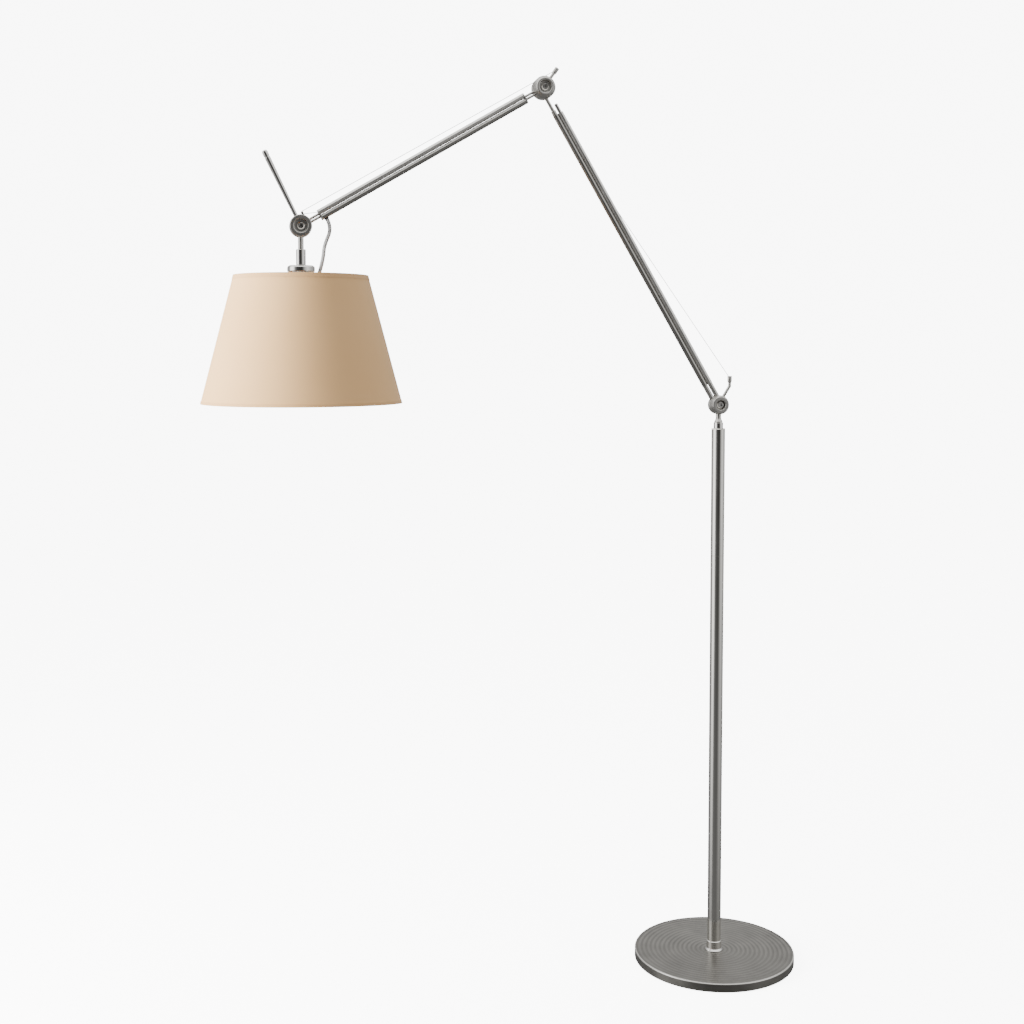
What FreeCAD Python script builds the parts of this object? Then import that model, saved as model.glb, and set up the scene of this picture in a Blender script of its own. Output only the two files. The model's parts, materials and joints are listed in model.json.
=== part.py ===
import FreeCAD, Part
import math
import os
import re
import Sketcher
from FreeCAD import Placement, Rotation, Vector

# A bridge floor lamp: a round weighted foot, a two-piece stem that swivels at its top,
# two spring-balanced arms of twin tubes with friction knuckles, and a head with a cone shade.
# Row frame: origin at the centre of the foot's underside, +Z up, arms in the XZ plane,
# shade towards -X, the knuckles' bolt heads towards -Y (the front). Millimetres.

doc = FreeCAD.newDocument("bridge_lamp")

# name, millimetres or degrees, what it sets
DRIVING = [
    ("foot_radius", 165, "outer radius of the round foot"),
    ("foot_height", 19, "top of the foot above the floor"),
    ("foot_edge", 2, "rounded edge of the foot's cover"),
    ("cover_wall", 1.5, "sheet thickness of the foot's cover"),
    ("cover_lift", 1.5, "gap between the cover's skirt and the floor"),
    ("pad_height", 3, "thickness of the rubber pad under the foot"),
    ("pad_inset", 6, "the pad's edge inside the foot's edge"),
    ("weight_gap", 0.5, "air between the iron weight and the cover's skirt"),
    ("nut_recess_radius", 20, "recess for the nut under the weight"),
    ("nut_recess_depth", 10, "depth of that recess"),
    ("channel_width", 8, "lead's channel in the weight's underside"),
    ("gland_bore", 3.4, "radius of the lead's hole in the gland"),
    ("gland_radius", 5, "radius of the gland's barrel"),
    ("gland_lip", 1.8, "gland's lip beyond its barrel and outside the skirt"),
    ("gland_height", 9, "gland's axis above the floor"),
    ("nipple_radius", 6.5, "hollow threaded tube that holds the stem down"),
    ("nipple_bore", 4, "lead's way through that tube"),
    ("base_nut_flats", 22, "across flats of the nut under the weight"),
    ("base_nut_height", 5.5, "height of that nut"),
    ("base_washer_radius", 14, "washer under the weight"),
    ("washer_height", 1.5, "thickness of the washers"),
    ("stem_radius", 13.9, "outer radius of the stem's tubes"),
    ("stem_wall", 1.5, "wall of the stem's tubes"),
    ("stem_split", 848, "joint line between the stem's two tubes"),
    ("tube_chamfer", 0.4, "broken edge at the ends of tubes"),
    ("fit_gap", 0.05, "radial clearance of a sliding fit"),
    ("plug_length", 40, "plug in the stem's foot and half of its joiner"),
    ("collar_height", 20, "polished collar round the stem's foot"),
    ("collar_wall", 1.6, "wall of that collar"),
    ("collar_flare", 3, "foot of the collar beyond its wall"),
    ("shoulder_height", 1158, "shoulder axis above the floor"),
    ("shoulder_drop", 50, "stem's top below the shoulder axis"),
    ("bush_length", 40, "bearing bush inside the stem's top"),
    ("bush_flange", 1.5, "flange of the bush on the tube's end"),
    ("spindle_radius", 6, "swivel spindle"),
    ("face_gap", 0.3, "air between faces that turn on each other"),
    ("swivel_collar_radius", 9.7, "turned collar above the stem"),
    ("swivel_collar_height", 12.7, "height of that collar"),
    ("neck_radius", 5.6, "necks of the shoulder and wrist cups"),
    ("neck_flare", 8.4, "foot of the shoulder cup's neck"),
    ("clip_radius", 9, "spring clip that keeps the spindle in"),
    ("clip_height", 1.2, "thickness of the clip"),
    ("clip_groove", 1, "depth of the clip's groove"),
    ("shoulder_radius", 19.5, "shoulder knuckle"),
    ("shoulder_rim", 16.8, "front rim of the shoulder cup"),
    ("shoulder_depth", 16.5, "half of the shoulder knuckle's length"),
    ("shoulder_recess", 10, "recess in the shoulder cup's face"),
    ("elbow_radius", 22, "elbow knuckle"),
    ("elbow_rim", 17, "front rim of the elbow cup"),
    ("elbow_depth", 22, "half of the elbow knuckle's length"),
    ("elbow_recess", 12.6, "recess in the elbow cup's face"),
    ("wrist_radius", 21.8, "wrist knuckle"),
    ("wrist_rim", 20.6, "front rim of the wrist cup"),
    ("wrist_depth", 20, "half of the wrist knuckle's length"),
    ("wrist_recess", 13.6, "recess in the wrist cup's face"),
    ("recess_depth", 8, "depth of the recess in a cup's face"),
    ("rear_recess_radius", 11.5, "nut's recess in a housing's back"),
    ("rear_recess_depth", 9, "depth of that recess"),
    ("split_gap", 1, "half of the gap between a cup and its housing"),
    ("rim_round", 1.2, "rounded lip of a cup's rim"),
    ("hub_clear", 0.6, "air between a rod and the other half's side"),
    ("disc_inset", 2, "friction disc inside its knuckle's edge"),
    ("cable_groove", 5, "depth between the elbow's halves that its cable runs in"),
    ("bolt_radius", 4, "knuckle bolts"),
    ("bolt_head_radius", 7.6, "heads of the knuckle bolts"),
    ("bolt_head_height", 5.6, "height of the bolt heads"),
    ("socket_flats", 6, "hexagon socket in a bolt head"),
    ("socket_depth", 3.5, "depth of that socket"),
    ("nut_flats", 13, "across flats of the knuckle nuts"),
    ("nut_height", 6, "height of the knuckle nuts"),
    ("spring_washer_radius", 9, "spring washers under the knuckle nuts"),
    ("lower_arm_length", 727, "shoulder axis to elbow axis"),
    ("lower_arm_angle", 59.8, "lower arm above the horizontal, at rest"),
    ("upper_arm_length", 551.4, "elbow axis to wrist axis"),
    ("upper_arm_angle", 30.2, "upper arm below the horizontal, at rest"),
    ("tube_radius", 5.5, "outer radius of the arms' tubes"),
    ("tube_wall", 1, "wall of the arms' tubes"),
    ("tube_gap", 0.3, "gap between the two tubes of an arm"),
    ("arm_plug_length", 18, "plugs inside the ends of the arms' tubes"),
    ("lower_start", 48, "shoulder axis to the lower arm's tubes"),
    ("lower_end", 57.3, "lower arm's tubes to the elbow axis"),
    ("prong_radius", 5, "prongs of the shoulder housing"),
    ("elbow_rod_radius", 3.5, "rod of the elbow cup"),
    ("sleeve_radius", 4.9, "sleeve on that rod"),
    ("sleeve_length", 9, "length of that sleeve"),
    ("adjuster_radius", 3.6, "spring adjuster at the lower arm's top"),
    ("adjuster_reach", 19, "adjuster beyond the tube's end"),
    ("upper_inset", 44.5, "upper arm's tubes to either axis"),
    ("twin_rod_radius", 2.6, "twin rods of the upper arm's housings"),
    ("twin_rod_pitch", 5.8, "spacing of the twin rods"),
    ("yoke_thickness", 3, "plate between the twin rods and the tubes"),
    ("spring_radius", 3.6, "outer radius of the balance springs"),
    ("spring_wire", 1.1, "wall that the springs' coils fill"),
    ("lower_spring_length", 150, "balance spring in the lower arm"),
    ("upper_spring_length", 140, "balance spring in the upper arm"),
    ("slot_margin", 9.6, "the cable's slot beyond the cable, at either end"),
    ("slot_width", 2.6, "width of the cable's slot"),
    ("cable_radius", 0.6, "tension cables"),
    ("horn_radius", 3.2, "rods of the cable horns"),
    ("fork_radius", 4.6, "forked ends of the cable horns"),
    ("fork_length", 14, "length of a forked end"),
    ("fork_slot", 2.4, "slot in a forked end"),
    ("pin_radius", 1.1, "pins through the forked ends"),
    ("shoulder_horn_x", 23.2, "shoulder horn's tip in front of the stem"),
    ("shoulder_horn_rise", 54.5, "shoulder horn's tip above the shoulder axis"),
    ("shoulder_horn_bend", 38, "height at which the shoulder horn turns upright"),
    ("elbow_horn_length", 44, "elbow axis to the elbow horn's tip"),
    ("elbow_horn_angle", 54.8, "elbow horn above the horizontal, at rest"),
    ("post_back", 16, "cable post from the wrist axis, along the arm"),
    ("post_rise", 20.5, "cable post above the arm's centre line"),
    ("post_radius", 2, "cable post"),
    ("neck_length", 44.5, "wrist axis to the neck sleeve's top"),
    ("neck_sleeve_radius", 9.4, "sleeve on the wrist cup's neck"),
    ("neck_sleeve_length", 29.5, "length of that sleeve"),
    ("cap_radius", 26.6, "round cap on the shade"),
    ("cap_height", 12.5, "height of that cap"),
    ("head_stud_radius", 5, "threaded stud below the neck"),
    ("holder_radius", 19, "lampholder"),
    ("holder_length", 54, "length of the lampholder"),
    ("holder_ring_radius", 23, "shade ring on the lampholder"),
    ("holder_ring_height", 5, "height of that ring"),
    ("bulb_radius", 30, "glass bulb"),
    ("bulb_length", 84, "glass of the bulb below the lampholder"),
    ("bulb_neck", 14, "neck of the bulb"),
    ("bulb_cap_radius", 13, "screw cap of the bulb"),
    ("bulb_cap_length", 24, "length of that cap"),
    ("shade_drop", 94.5, "wrist axis to the shade's top edge"),
    ("shade_height", 247, "height of the shade"),
    ("shade_top_radius", 129, "radius of the shade's top edge"),
    ("shade_bottom_radius", 193.5, "radius of the shade's bottom edge"),
    ("shade_wall", 1, "thickness of the shade"),
    ("top_hem", 9, "height of the hem at the shade's top"),
    ("bottom_hem", 6, "height of the hem at the shade's bottom"),
    ("hem_thickness", 0.5, "thickness of the hems"),
    ("wire_radius", 1.5, "shade's wire rings and arms"),
    ("wire_gap", 0.3, "wire rings inside the shade"),
    ("spider_hub_radius", 18, "hub of the shade's frame"),
    ("spider_hub_height", 3.6, "thickness of that hub"),
    ("handle_length", 158, "wrist axis to the handle's tip"),
    ("handle_angle", 115.7, "handle from the +X direction"),
    ("handle_root_radius", 4, "handle at its root"),
    ("handle_tip_radius", 5.6, "handle near its tip"),
    ("handle_forward", 8, "handle's axis in front of the arm's plane"),
    ("flex_radius", 3.7, "lead between the upper arm and the lampholder"),
    ("grommet_wall", 1, "rubber round the lead where it leaves the arm"),
    ("grommet_back", 51, "wrist axis to the grommet, along the arm"),
]

sheet = doc.addObject("Spreadsheet::Sheet", "Sizes")
for row, (name, number, note) in enumerate(DRIVING, start=1):
    sheet.set(f"A{row}", name)
    sheet.set(f"B{row}", str(number))
    sheet.setAlias(f"B{row}", name)
    sheet.set(f"C{row}", note)
doc.recompute()

NAMES = {name for name, number, note in DRIVING}


def size(name):
    return float(sheet.get(name))


def bound(formula):
    """The formula with each driving dimension's name pointing at its cell."""
    return re.sub(r"[a-z_]{3,}", lambda w: f"Sizes.{w[0]}" if w[0] in NAMES else w[0], formula)


def plane_of(body, role):
    return next(o for o in body.Origin.OriginFeatures if o.Role == role)


# ---- building blocks -------------------------------------------------------


def sketch_on(body, role, outline):
    """A closed outline of straight lines whose corners are pairs of formulas."""
    sketch = body.newObject("Sketcher::SketchObject", body.Name + "_sketch")
    sketch.AttachmentSupport = [(plane_of(body, role), "")]
    sketch.MapMode = "FlatFace"
    count = len(outline)
    turn = Rotation(Vector(0, 0, 1), 360 / count)
    spokes = [Vector(100, 0, 0)]
    for step in range(count - 1):
        spokes.append(turn.multVec(spokes[-1]))
    for step in range(count):
        sketch.addGeometry(Part.LineSegment(spokes[step], spokes[(step + 1) % count]))
    for step in range(count):
        sketch.addConstraint(Sketcher.Constraint("Coincident", step, 2, (step + 1) % count, 1))
    for step, (across, up) in enumerate(outline):
        for kind, formula in (("DistanceX", across), ("DistanceY", up)):
            index = sketch.addConstraint(Sketcher.Constraint(kind, -1, 1, step, 1, 1.0))
            sketch.setExpression(f"Constraints[{index}]", bound(formula))
    return sketch


def turned(name, outline):
    """A solid of revolution about its own Z; corners are (radius, height)."""
    body = doc.addObject("PartDesign::Body", name)
    sketch = sketch_on(body, "XZ_Plane", outline)
    revolve = body.newObject("PartDesign::Revolution", name + "_turned")
    revolve.Profile = sketch
    revolve.ReferenceAxis = (sketch, ["V_Axis"])
    revolve.Angle = 360
    sketch.Visibility = False
    body.Tip = revolve
    return body


def ring(name, inner, outer, low, high):
    return turned(name, [(inner, low), (outer, low), (outer, high), (inner, high)])


def rounded(body, edges_wanted, radius, kind="Fillet"):
    """Rounds or chamfers the circular edges at the given (radius, height) places."""
    doc.recompute()
    base = body.Tip
    names = []
    for index, edge in enumerate(base.Shape.Edges, start=1):
        circle = edge.Curve
        if not hasattr(circle, "Radius"):
            continue
        for wanted_radius, wanted_height in edges_wanted:
            at_place = abs(circle.Radius - wanted_radius) < 0.01
            if at_place and abs(circle.Center.z - wanted_height) < 0.01:
                names.append(f"Edge{index}")
    feature = body.newObject("PartDesign::" + kind, body.Name + "_" + kind.lower())
    feature.Base = (base, names)
    prop = "Radius" if kind == "Fillet" else "Size"
    feature.setExpression(prop, bound(radius))
    body.Tip = feature
    return body


def cylinder(name, radius, length, placement):
    solid = doc.addObject("Part::Cylinder", name)
    solid.setExpression("Radius", bound(radius))
    solid.setExpression("Height", bound(length))
    solid.Placement = placement
    return solid


def block(name, across, along, up, placement):
    solid = doc.addObject("Part::Box", name)
    solid.setExpression("Length", bound(across))
    solid.setExpression("Width", bound(along))
    solid.setExpression("Height", bound(up))
    solid.Placement = placement
    return solid


def hexagon(name, flats, height, placement):
    solid = doc.addObject("Part::Prism", name)
    solid.Polygon = 6
    solid.setExpression("Circumradius", bound(f"({flats}) / (2 * cos(30))"))
    solid.setExpression("Height", bound(height))
    solid.Placement = placement
    return solid


def fused(name, solids):
    result = doc.addObject("Part::MultiFuse", name)
    result.Shapes = solids
    return result


def cut(name, base, tool):
    result = doc.addObject("Part::Cut", name)
    result.Base = base
    result.Tool = tool
    return result


# ---- frames ----------------------------------------------------------------
# A knuckle's frame has x and y in the arms' plane and z towards the front.

FACING = Rotation(Vector(1, 0, 0), 90)
UPRIGHT = Placement()


def heading(degrees):
    return Rotation(Vector(0, 0, 1), degrees)


def along(degrees, offset=0.0, start=0.0, forward=0.0):
    """In a knuckle's frame: z runs outwards at an angle, from a start, beside the centre."""
    outward = heading(degrees)
    origin = outward.multVec(Vector(start, offset, forward))
    return Placement(origin, outward * Rotation(Vector(0, 1, 0), 90))


lower_heading = 180 - size("lower_arm_angle")
upper_heading = 180 + size("upper_arm_angle")
shoulder = Placement(Vector(0, 0, size("shoulder_height")), FACING)
lower_arm = shoulder * Placement(Vector(), heading(lower_heading))
elbow_on_lower = lower_arm * Placement(Vector(size("lower_arm_length"), 0, 0), Rotation())
elbow_point = elbow_on_lower.Base
upper_arm = Placement(elbow_point, FACING * heading(upper_heading))
wrist_on_upper = upper_arm * Placement(Vector(size("upper_arm_length"), 0, 0), Rotation())
wrist_point = wrist_on_upper.Base
head = Placement(wrist_point, FACING)
head_down = Placement(wrist_point, Rotation(Vector(1, 0, 0), 180))
tube_pitch = 2 * size("tube_radius") + size("tube_gap")

nodes = {}


def node(label, solid, placement=UPRIGHT):
    solid.Label = label
    solid.Placement = placement * solid.Placement if solid.TypeId == "Part::Cylinder" else placement
    nodes[label] = solid


# ---- foot ------------------------------------------------------------------

cover_under = "foot_height - cover_wall"
skirt_inside = "foot_radius - cover_wall"


def make_foot():
    cover = turned("cover_body", [
        ("nipple_radius + fit_gap", cover_under),
        (skirt_inside, cover_under),
        (skirt_inside, "cover_lift"),
        ("foot_radius", "cover_lift"),
        ("foot_radius", "foot_height"),
        ("nipple_radius + fit_gap", "foot_height"),
    ])
    rounded(cover, [(size("foot_radius"), size("foot_height"))], "min(foot_edge; foot_height / 4)")
    across = Rotation(Vector(1, 0, 0), -90)
    low = Vector(0, 0, size("gland_height"))
    mouth = cylinder("cover_mouth", "gland_radius", "foot_radius * 2", Placement(low, across))
    node("foot_cover", cut("cover_cut", cover, mouth))

    weight = turned("weight_body", [
        ("nipple_radius + fit_gap", "pad_height + nut_recess_depth"),
        ("nut_recess_radius", "pad_height + nut_recess_depth"),
        ("nut_recess_radius", "pad_height"),
        (f"{skirt_inside} - weight_gap", "pad_height"),
        (f"{skirt_inside} - weight_gap", cover_under),
        ("nipple_radius + fit_gap", cover_under),
    ])
    corner = Vector(-size("channel_width") / 2, size("nipple_radius") * 2, size("pad_height"))
    channel = block("weight_channel", "channel_width", "foot_radius", "nut_recess_depth",
                    Placement(corner, Rotation()))
    pocket_start = Vector(0, size("foot_radius") - size("gland_radius") * 2, size("gland_height"))
    pocket = cylinder("weight_pocket", "gland_radius + fit_gap", "gland_radius * 3",
                      Placement(pocket_start, across))
    node("foot_weight", cut("weight_cut", weight, fused("weight_tools", [channel, pocket])))

    pad_outer = "foot_radius - pad_inset"
    node("foot_pad", turned("pad_body", [
        ("0", "0"), (f"{pad_outer} - 1", "0"), (pad_outer, "1"), (pad_outer, "pad_height"),
        ("0", "pad_height"),
    ]))

    barrel = "gland_radius * 2"
    gland = turned("gland_body", [
        ("gland_bore", "0"), ("gland_radius", "0"), ("gland_radius", barrel),
        ("gland_radius + gland_lip", barrel), ("gland_radius + gland_lip", f"{barrel} + gland_lip"),
        ("gland_bore", f"{barrel} + gland_lip"),
    ])
    start = size("foot_radius") - size("gland_radius") * 2
    node("lead_gland", gland, Placement(Vector(0, start, size("gland_height")), across))

    seat = "pad_height + nut_recess_depth"
    node("foot_washer", ring("washer_body", "nipple_radius + fit_gap", "base_washer_radius",
                             f"{seat} - washer_height", seat))
    under = size("pad_height") + size("nut_recess_depth") - size("washer_height")
    nut_low = Placement(Vector(0, 0, under - size("base_nut_height")), Rotation())
    nut = hexagon("foot_nut_hex", "base_nut_flats", "base_nut_height", nut_low)
    bore = cylinder("foot_nut_bore", "nipple_radius", "base_nut_height", nut_low)
    node("foot_nut", cut("foot_nut_cut", nut, bore))
    node("stem_nipple", ring("nipple_body", "nipple_bore", "nipple_radius",
                             f"{seat} - washer_height - base_nut_height - 1",
                             "foot_height + plug_length"))
    collar_inner = "stem_radius + fit_gap"
    collar_outer = "stem_radius + collar_wall"
    top = "foot_height + collar_height"
    collar = turned("collar_body", [
        (collar_inner, "foot_height"), (f"{collar_outer} + collar_flare", "foot_height"),
        (f"{collar_outer} + collar_flare", "foot_height + 1"),
        (collar_outer, "foot_height + 1 + collar_flare"), (collar_outer, f"{top} - 1"),
        (f"{collar_outer} - 1", top), (collar_inner, top),
    ])
    node("stem_collar", collar)


# ---- stem ------------------------------------------------------------------

stem_bore = "(stem_radius - stem_wall)"
stem_top = "(shoulder_height - shoulder_drop)"


def tube(name, outer, wall, low, high):
    """A tube with broken outer edges."""
    return turned(name, [
        (f"{outer} - {wall}", low), (f"{outer} - tube_chamfer", low),
        (outer, f"{low} + tube_chamfer"), (outer, f"{high} - tube_chamfer"),
        (f"{outer} - tube_chamfer", high), (f"{outer} - {wall}", high),
    ])


def make_stem():
    node("stem_lower_tube", tube("stem_low", "stem_radius", "stem_wall", "foot_height", "stem_split"))
    node("stem_upper_tube", tube("stem_high", "stem_radius", "stem_wall", "stem_split", stem_top))
    node("stem_foot_plug", ring("foot_plug", "nipple_radius", f"{stem_bore} - fit_gap",
                                "foot_height", "foot_height + plug_length"))
    node("stem_joiner", ring("joiner", f"{stem_bore} - 2 * stem_wall", f"{stem_bore} - fit_gap",
                             "stem_split - plug_length", "stem_split + plug_length"))
    bore = "spindle_radius + fit_gap"
    node("swivel_bush", turned("bush_body", [
        (bore, f"{stem_top} - bush_length"), (f"{stem_bore} - fit_gap", f"{stem_top} - bush_length"),
        (f"{stem_bore} - fit_gap", stem_top), ("stem_radius", stem_top),
        ("stem_radius", f"{stem_top} + bush_flange"), (bore, f"{stem_top} + bush_flange"),
    ]))


def make_swivel():
    """What turns on the stem's top, below the shoulder cup."""
    collar_low = f"({stem_top} + bush_flange + face_gap)"
    collar_top = f"({collar_low} + swivel_collar_height)"
    node("swivel_collar", turned("swivel_collar_body", [
        ("spindle_radius", collar_low), ("swivel_collar_radius", collar_low),
        ("swivel_collar_radius", f"{collar_top} - 1.5"),
        ("swivel_collar_radius - 1.5", collar_top), ("spindle_radius", collar_top),
    ]))
    clip_top = f"({stem_top} - bush_length - face_gap)"
    clip_low = f"({clip_top} - clip_height)"
    groove = "spindle_radius - clip_groove"
    node("swivel_spindle", turned("spindle_body", [
        ("0", f"{clip_low} - 4"), (groove, f"{clip_low} - 4"),
        ("spindle_radius", f"{clip_low} - 3"), ("spindle_radius", clip_low),
        (groove, clip_low), (groove, clip_top), ("spindle_radius", clip_top),
        ("spindle_radius", collar_top), ("0", collar_top),
    ]))
    node("swivel_clip", ring("clip_body", groove, "clip_radius", clip_low, clip_top))


# ---- knuckles --------------------------------------------------------------


def cup_of(joint):
    """The front half: a cup with a rounded rim and a recess for the bolt's head."""
    radius, rim, depth, recess = (f"{joint}_{part}" for part in ("radius", "rim", "depth", "recess"))
    floor = f"{depth} - recess_depth"
    body = turned(joint + "_cup_body", [
        ("bolt_radius + fit_gap", "split_gap"), (radius, "split_gap"),
        (radius, f"{depth} * 0.55"), (rim, depth), (recess, depth),
        (f"{recess} - 1", floor), ("bolt_radius + fit_gap", floor),
    ])
    shoulder_edge = (size(radius), size(depth) * 0.55)
    lip = (size(rim), size(depth))
    return rounded(body, [shoulder_edge, lip], "rim_round")


def housing_of(joint):
    """The rear half, with the nut's recess in its back."""
    radius, depth = f"{joint}_radius", f"{joint}_depth"
    floor = f"rear_recess_depth - {depth}"
    body = turned(joint + "_housing_body", [
        ("bolt_radius + fit_gap", "-split_gap"), (radius, "-split_gap"),
        (radius, f"-{depth} * 0.7"), (f"{radius} - {depth} * 0.2", f"-{depth}"),
        ("rear_recess_radius", f"-{depth}"), ("rear_recess_radius", floor),
        ("bolt_radius + fit_gap", floor),
    ])
    shoulder_edge = (size(radius), -0.7 * size(depth))
    return rounded(body, [shoulder_edge], "rim_round")


def joined(name, hub, rods, joint, front):
    """A hub with its rods, cut clear of the knuckle's other half."""
    whole = fused(name + "_whole", [hub] + rods)
    reach = size(joint + "_depth") + size("tube_radius")
    low = -reach if front else -size("split_gap")
    clear = cylinder(name + "_clear", f"{joint}_radius + hub_clear",
                     f"{joint}_depth + tube_radius + split_gap", Placement(Vector(0, 0, low), Rotation()))
    return cut(name + "_cut", whole, clear)


def knuckle_fittings(joint, placement, inset="disc_inset"):
    """Bolt, spring washer, nut and friction disc; they all turn with the cup."""
    depth = f"{joint}_depth"
    seat = f"({depth} - recess_depth)"
    washer_top = f"(rear_recess_depth - {depth} - face_gap)"
    nut_top = f"({washer_top} - washer_height)"
    bolt = turned(joint + "_bolt_body", [
        ("0", f"{nut_top} - nut_height"), ("bolt_radius", f"{nut_top} - nut_height"),
        ("bolt_radius", seat), ("bolt_head_radius", seat),
        ("bolt_head_radius", f"{seat} + bolt_head_height * 0.6"),
        ("bolt_head_radius * 0.72", f"{seat} + bolt_head_height"), ("0", f"{seat} + bolt_head_height"),
    ])
    floor = size(depth) - size("recess_depth") + size("bolt_head_height") - size("socket_depth")
    socket = hexagon(joint + "_socket", "socket_flats", "socket_depth * 2",
                     Placement(Vector(0, 0, floor), Rotation()))
    node(joint + "_bolt", cut(joint + "_bolt_cut", bolt, socket), placement)
    node(joint + "_spring_washer", ring(joint + "_washer_body", "bolt_radius + fit_gap",
                                        "spring_washer_radius", nut_top, washer_top), placement)
    nut_low = size("rear_recess_depth") - size(depth) - size("face_gap")
    nut_low = nut_low - size("washer_height") - size("nut_height")
    at_nut = Placement(Vector(0, 0, nut_low), Rotation())
    nut = hexagon(joint + "_nut_hex", "nut_flats", "nut_height", at_nut)
    bore = cylinder(joint + "_nut_bore", "bolt_radius", "nut_height", at_nut)
    node(joint + "_nut", cut(joint + "_nut_cut", nut, bore), placement)
    node(joint + "_friction_disc", ring(joint + "_disc_body", "bolt_radius + fit_gap",
                                        f"{joint}_radius - {inset}", "face_gap - split_gap",
                                        "split_gap"), placement)


def rod(name, outline, placement):
    body = turned(name, outline)
    body.Placement = placement
    return body


def plain_rod(name, radius, start, end, placement):
    return rod(name, [("0", start), (radius, start), (radius, end), ("0", end)], placement)


pin_share = 0.7  # how far along a forked end its pin sits


def fork(name, placement):
    """A forked tip before its slot is cut; z runs along the horn."""
    return rod(name + "_barrel", [
        ("0", "0"), ("horn_radius", "0"), ("fork_radius", "horn_radius"),
        ("fork_radius", "fork_length"), ("0", "fork_length"),
    ], placement)


def fork_openings(name, placement):
    """The slot that the cable runs in and the hole for its pin."""
    faced = turned_to_front(placement)
    corner = Vector(-size("fork_radius") * 1.5, -size("fork_slot") / 2, 0)
    slot = block(name + "_slot", "fork_radius * 3", "fork_slot", "fork_length",
                 faced * Placement(corner, Rotation()))
    across = Placement(Vector(0, size("fork_radius") * 1.5, size("fork_length") * pin_share),
                       Rotation(Vector(1, 0, 0), 90))
    hole = cylinder(name + "_hole", "pin_radius", "fork_radius * 3", faced * across)
    return fused(name, [slot, hole])


def turned_to_front(placement):
    """The same direction of z, with y turned to the knuckle's front."""
    front = placement.Rotation.inverted().multVec(Vector(0, 0, 1))
    return placement * Placement(Vector(), Rotation(Vector(0, 1, 0), front))


# ---- shoulder --------------------------------------------------------------


def make_shoulder():
    neck_foot = "(shoulder_drop - bush_flange - face_gap - swivel_collar_height)"
    neck = rod("shoulder_neck", [
        ("0", "shoulder_radius / 2"), ("neck_radius", "shoulder_radius / 2"),
        ("neck_radius", f"{neck_foot} - 9"), ("neck_flare", f"{neck_foot} - 1.5"),
        ("neck_flare", neck_foot), ("0", neck_foot),
    ], along(-90))
    tip = Vector(size("shoulder_horn_x"), size("shoulder_horn_rise"), 0)
    bend = Vector(size("shoulder_horn_x"), size("shoulder_horn_bend"), 0)
    slant = math.degrees(bend.getAngle(Vector(1, 0, 0)))
    slanted = doc.addObject("Part::Cylinder", "shoulder_horn_slant")
    slanted.setExpression("Radius", bound("horn_radius"))
    slanted.Height = bend.Length - size("shoulder_radius") * 0.6
    slanted.Placement = along(slant, start=size("shoulder_radius") * 0.6)
    knee = doc.addObject("Part::Sphere", "shoulder_horn_knee")
    knee.setExpression("Radius", bound("horn_radius"))
    knee.Placement = Placement(bend, Rotation())
    upright = cylinder("shoulder_horn_upright", "horn_radius",
                       "shoulder_horn_rise - shoulder_horn_bend - fork_length / 2",
                       along(90, offset=-bend.x, start=bend.y))
    fork_start = tip.y - size("fork_length") * pin_share
    at_fork = along(90, offset=-tip.x, start=fork_start)
    barrel = fork("shoulder_fork", at_fork)
    cup = joined("shoulder_cup", cup_of("shoulder"), [neck, slanted, knee, upright, barrel], "shoulder", True)
    openings = fork_openings("shoulder_fork_openings", at_fork)
    node("shoulder_cup", cut("shoulder_cup_slotted", cup, openings), shoulder)
    knuckle_fittings("shoulder", shoulder)
    pin = cylinder("shoulder_pin", "pin_radius", "fork_radius * 2",
                   Placement(Vector(tip.x, tip.y, -size("fork_radius")), Rotation()))
    node("shoulder_horn_pin", pin, shoulder)

    prongs = []
    for side, offset in (("spring", -tube_pitch / 2), ("wire", tube_pitch / 2)):
        prongs.append(rod(f"shoulder_prong_{side}", [
            ("0", "shoulder_radius / 2"), ("prong_radius", "shoulder_radius / 2"),
            ("prong_radius", "lower_start"), ("tube_radius - tube_wall - fit_gap", "lower_start"),
            ("tube_radius - tube_wall - fit_gap", "lower_start + arm_plug_length"),
            ("0", "lower_start + arm_plug_length"),
        ], along(0, offset=offset)))
    node("shoulder_housing", joined("shoulder_housing", housing_of("shoulder"), prongs, "shoulder", False),
         lower_arm)


# ---- arms ------------------------------------------------------------------


def arm_axis(arm, side):
    """z along an arm's tube: side -1 is the spring's tube, +1 the lead's."""
    return arm * along(0, offset=side * tube_pitch / 2)


def lower_cable_line():
    """In the lower arm's frame: the horn's tip and the spring's end inside its tube."""
    horn = Vector(size("shoulder_horn_x"), size("shoulder_horn_rise"), 0)
    spring_end = size("lower_arm_length") - size("lower_end") - size("arm_plug_length")
    spring_end = spring_end - size("lower_spring_length")
    return heading(-lower_heading).multVec(horn), Vector(spring_end, -tube_pitch / 2, 0)


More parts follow.
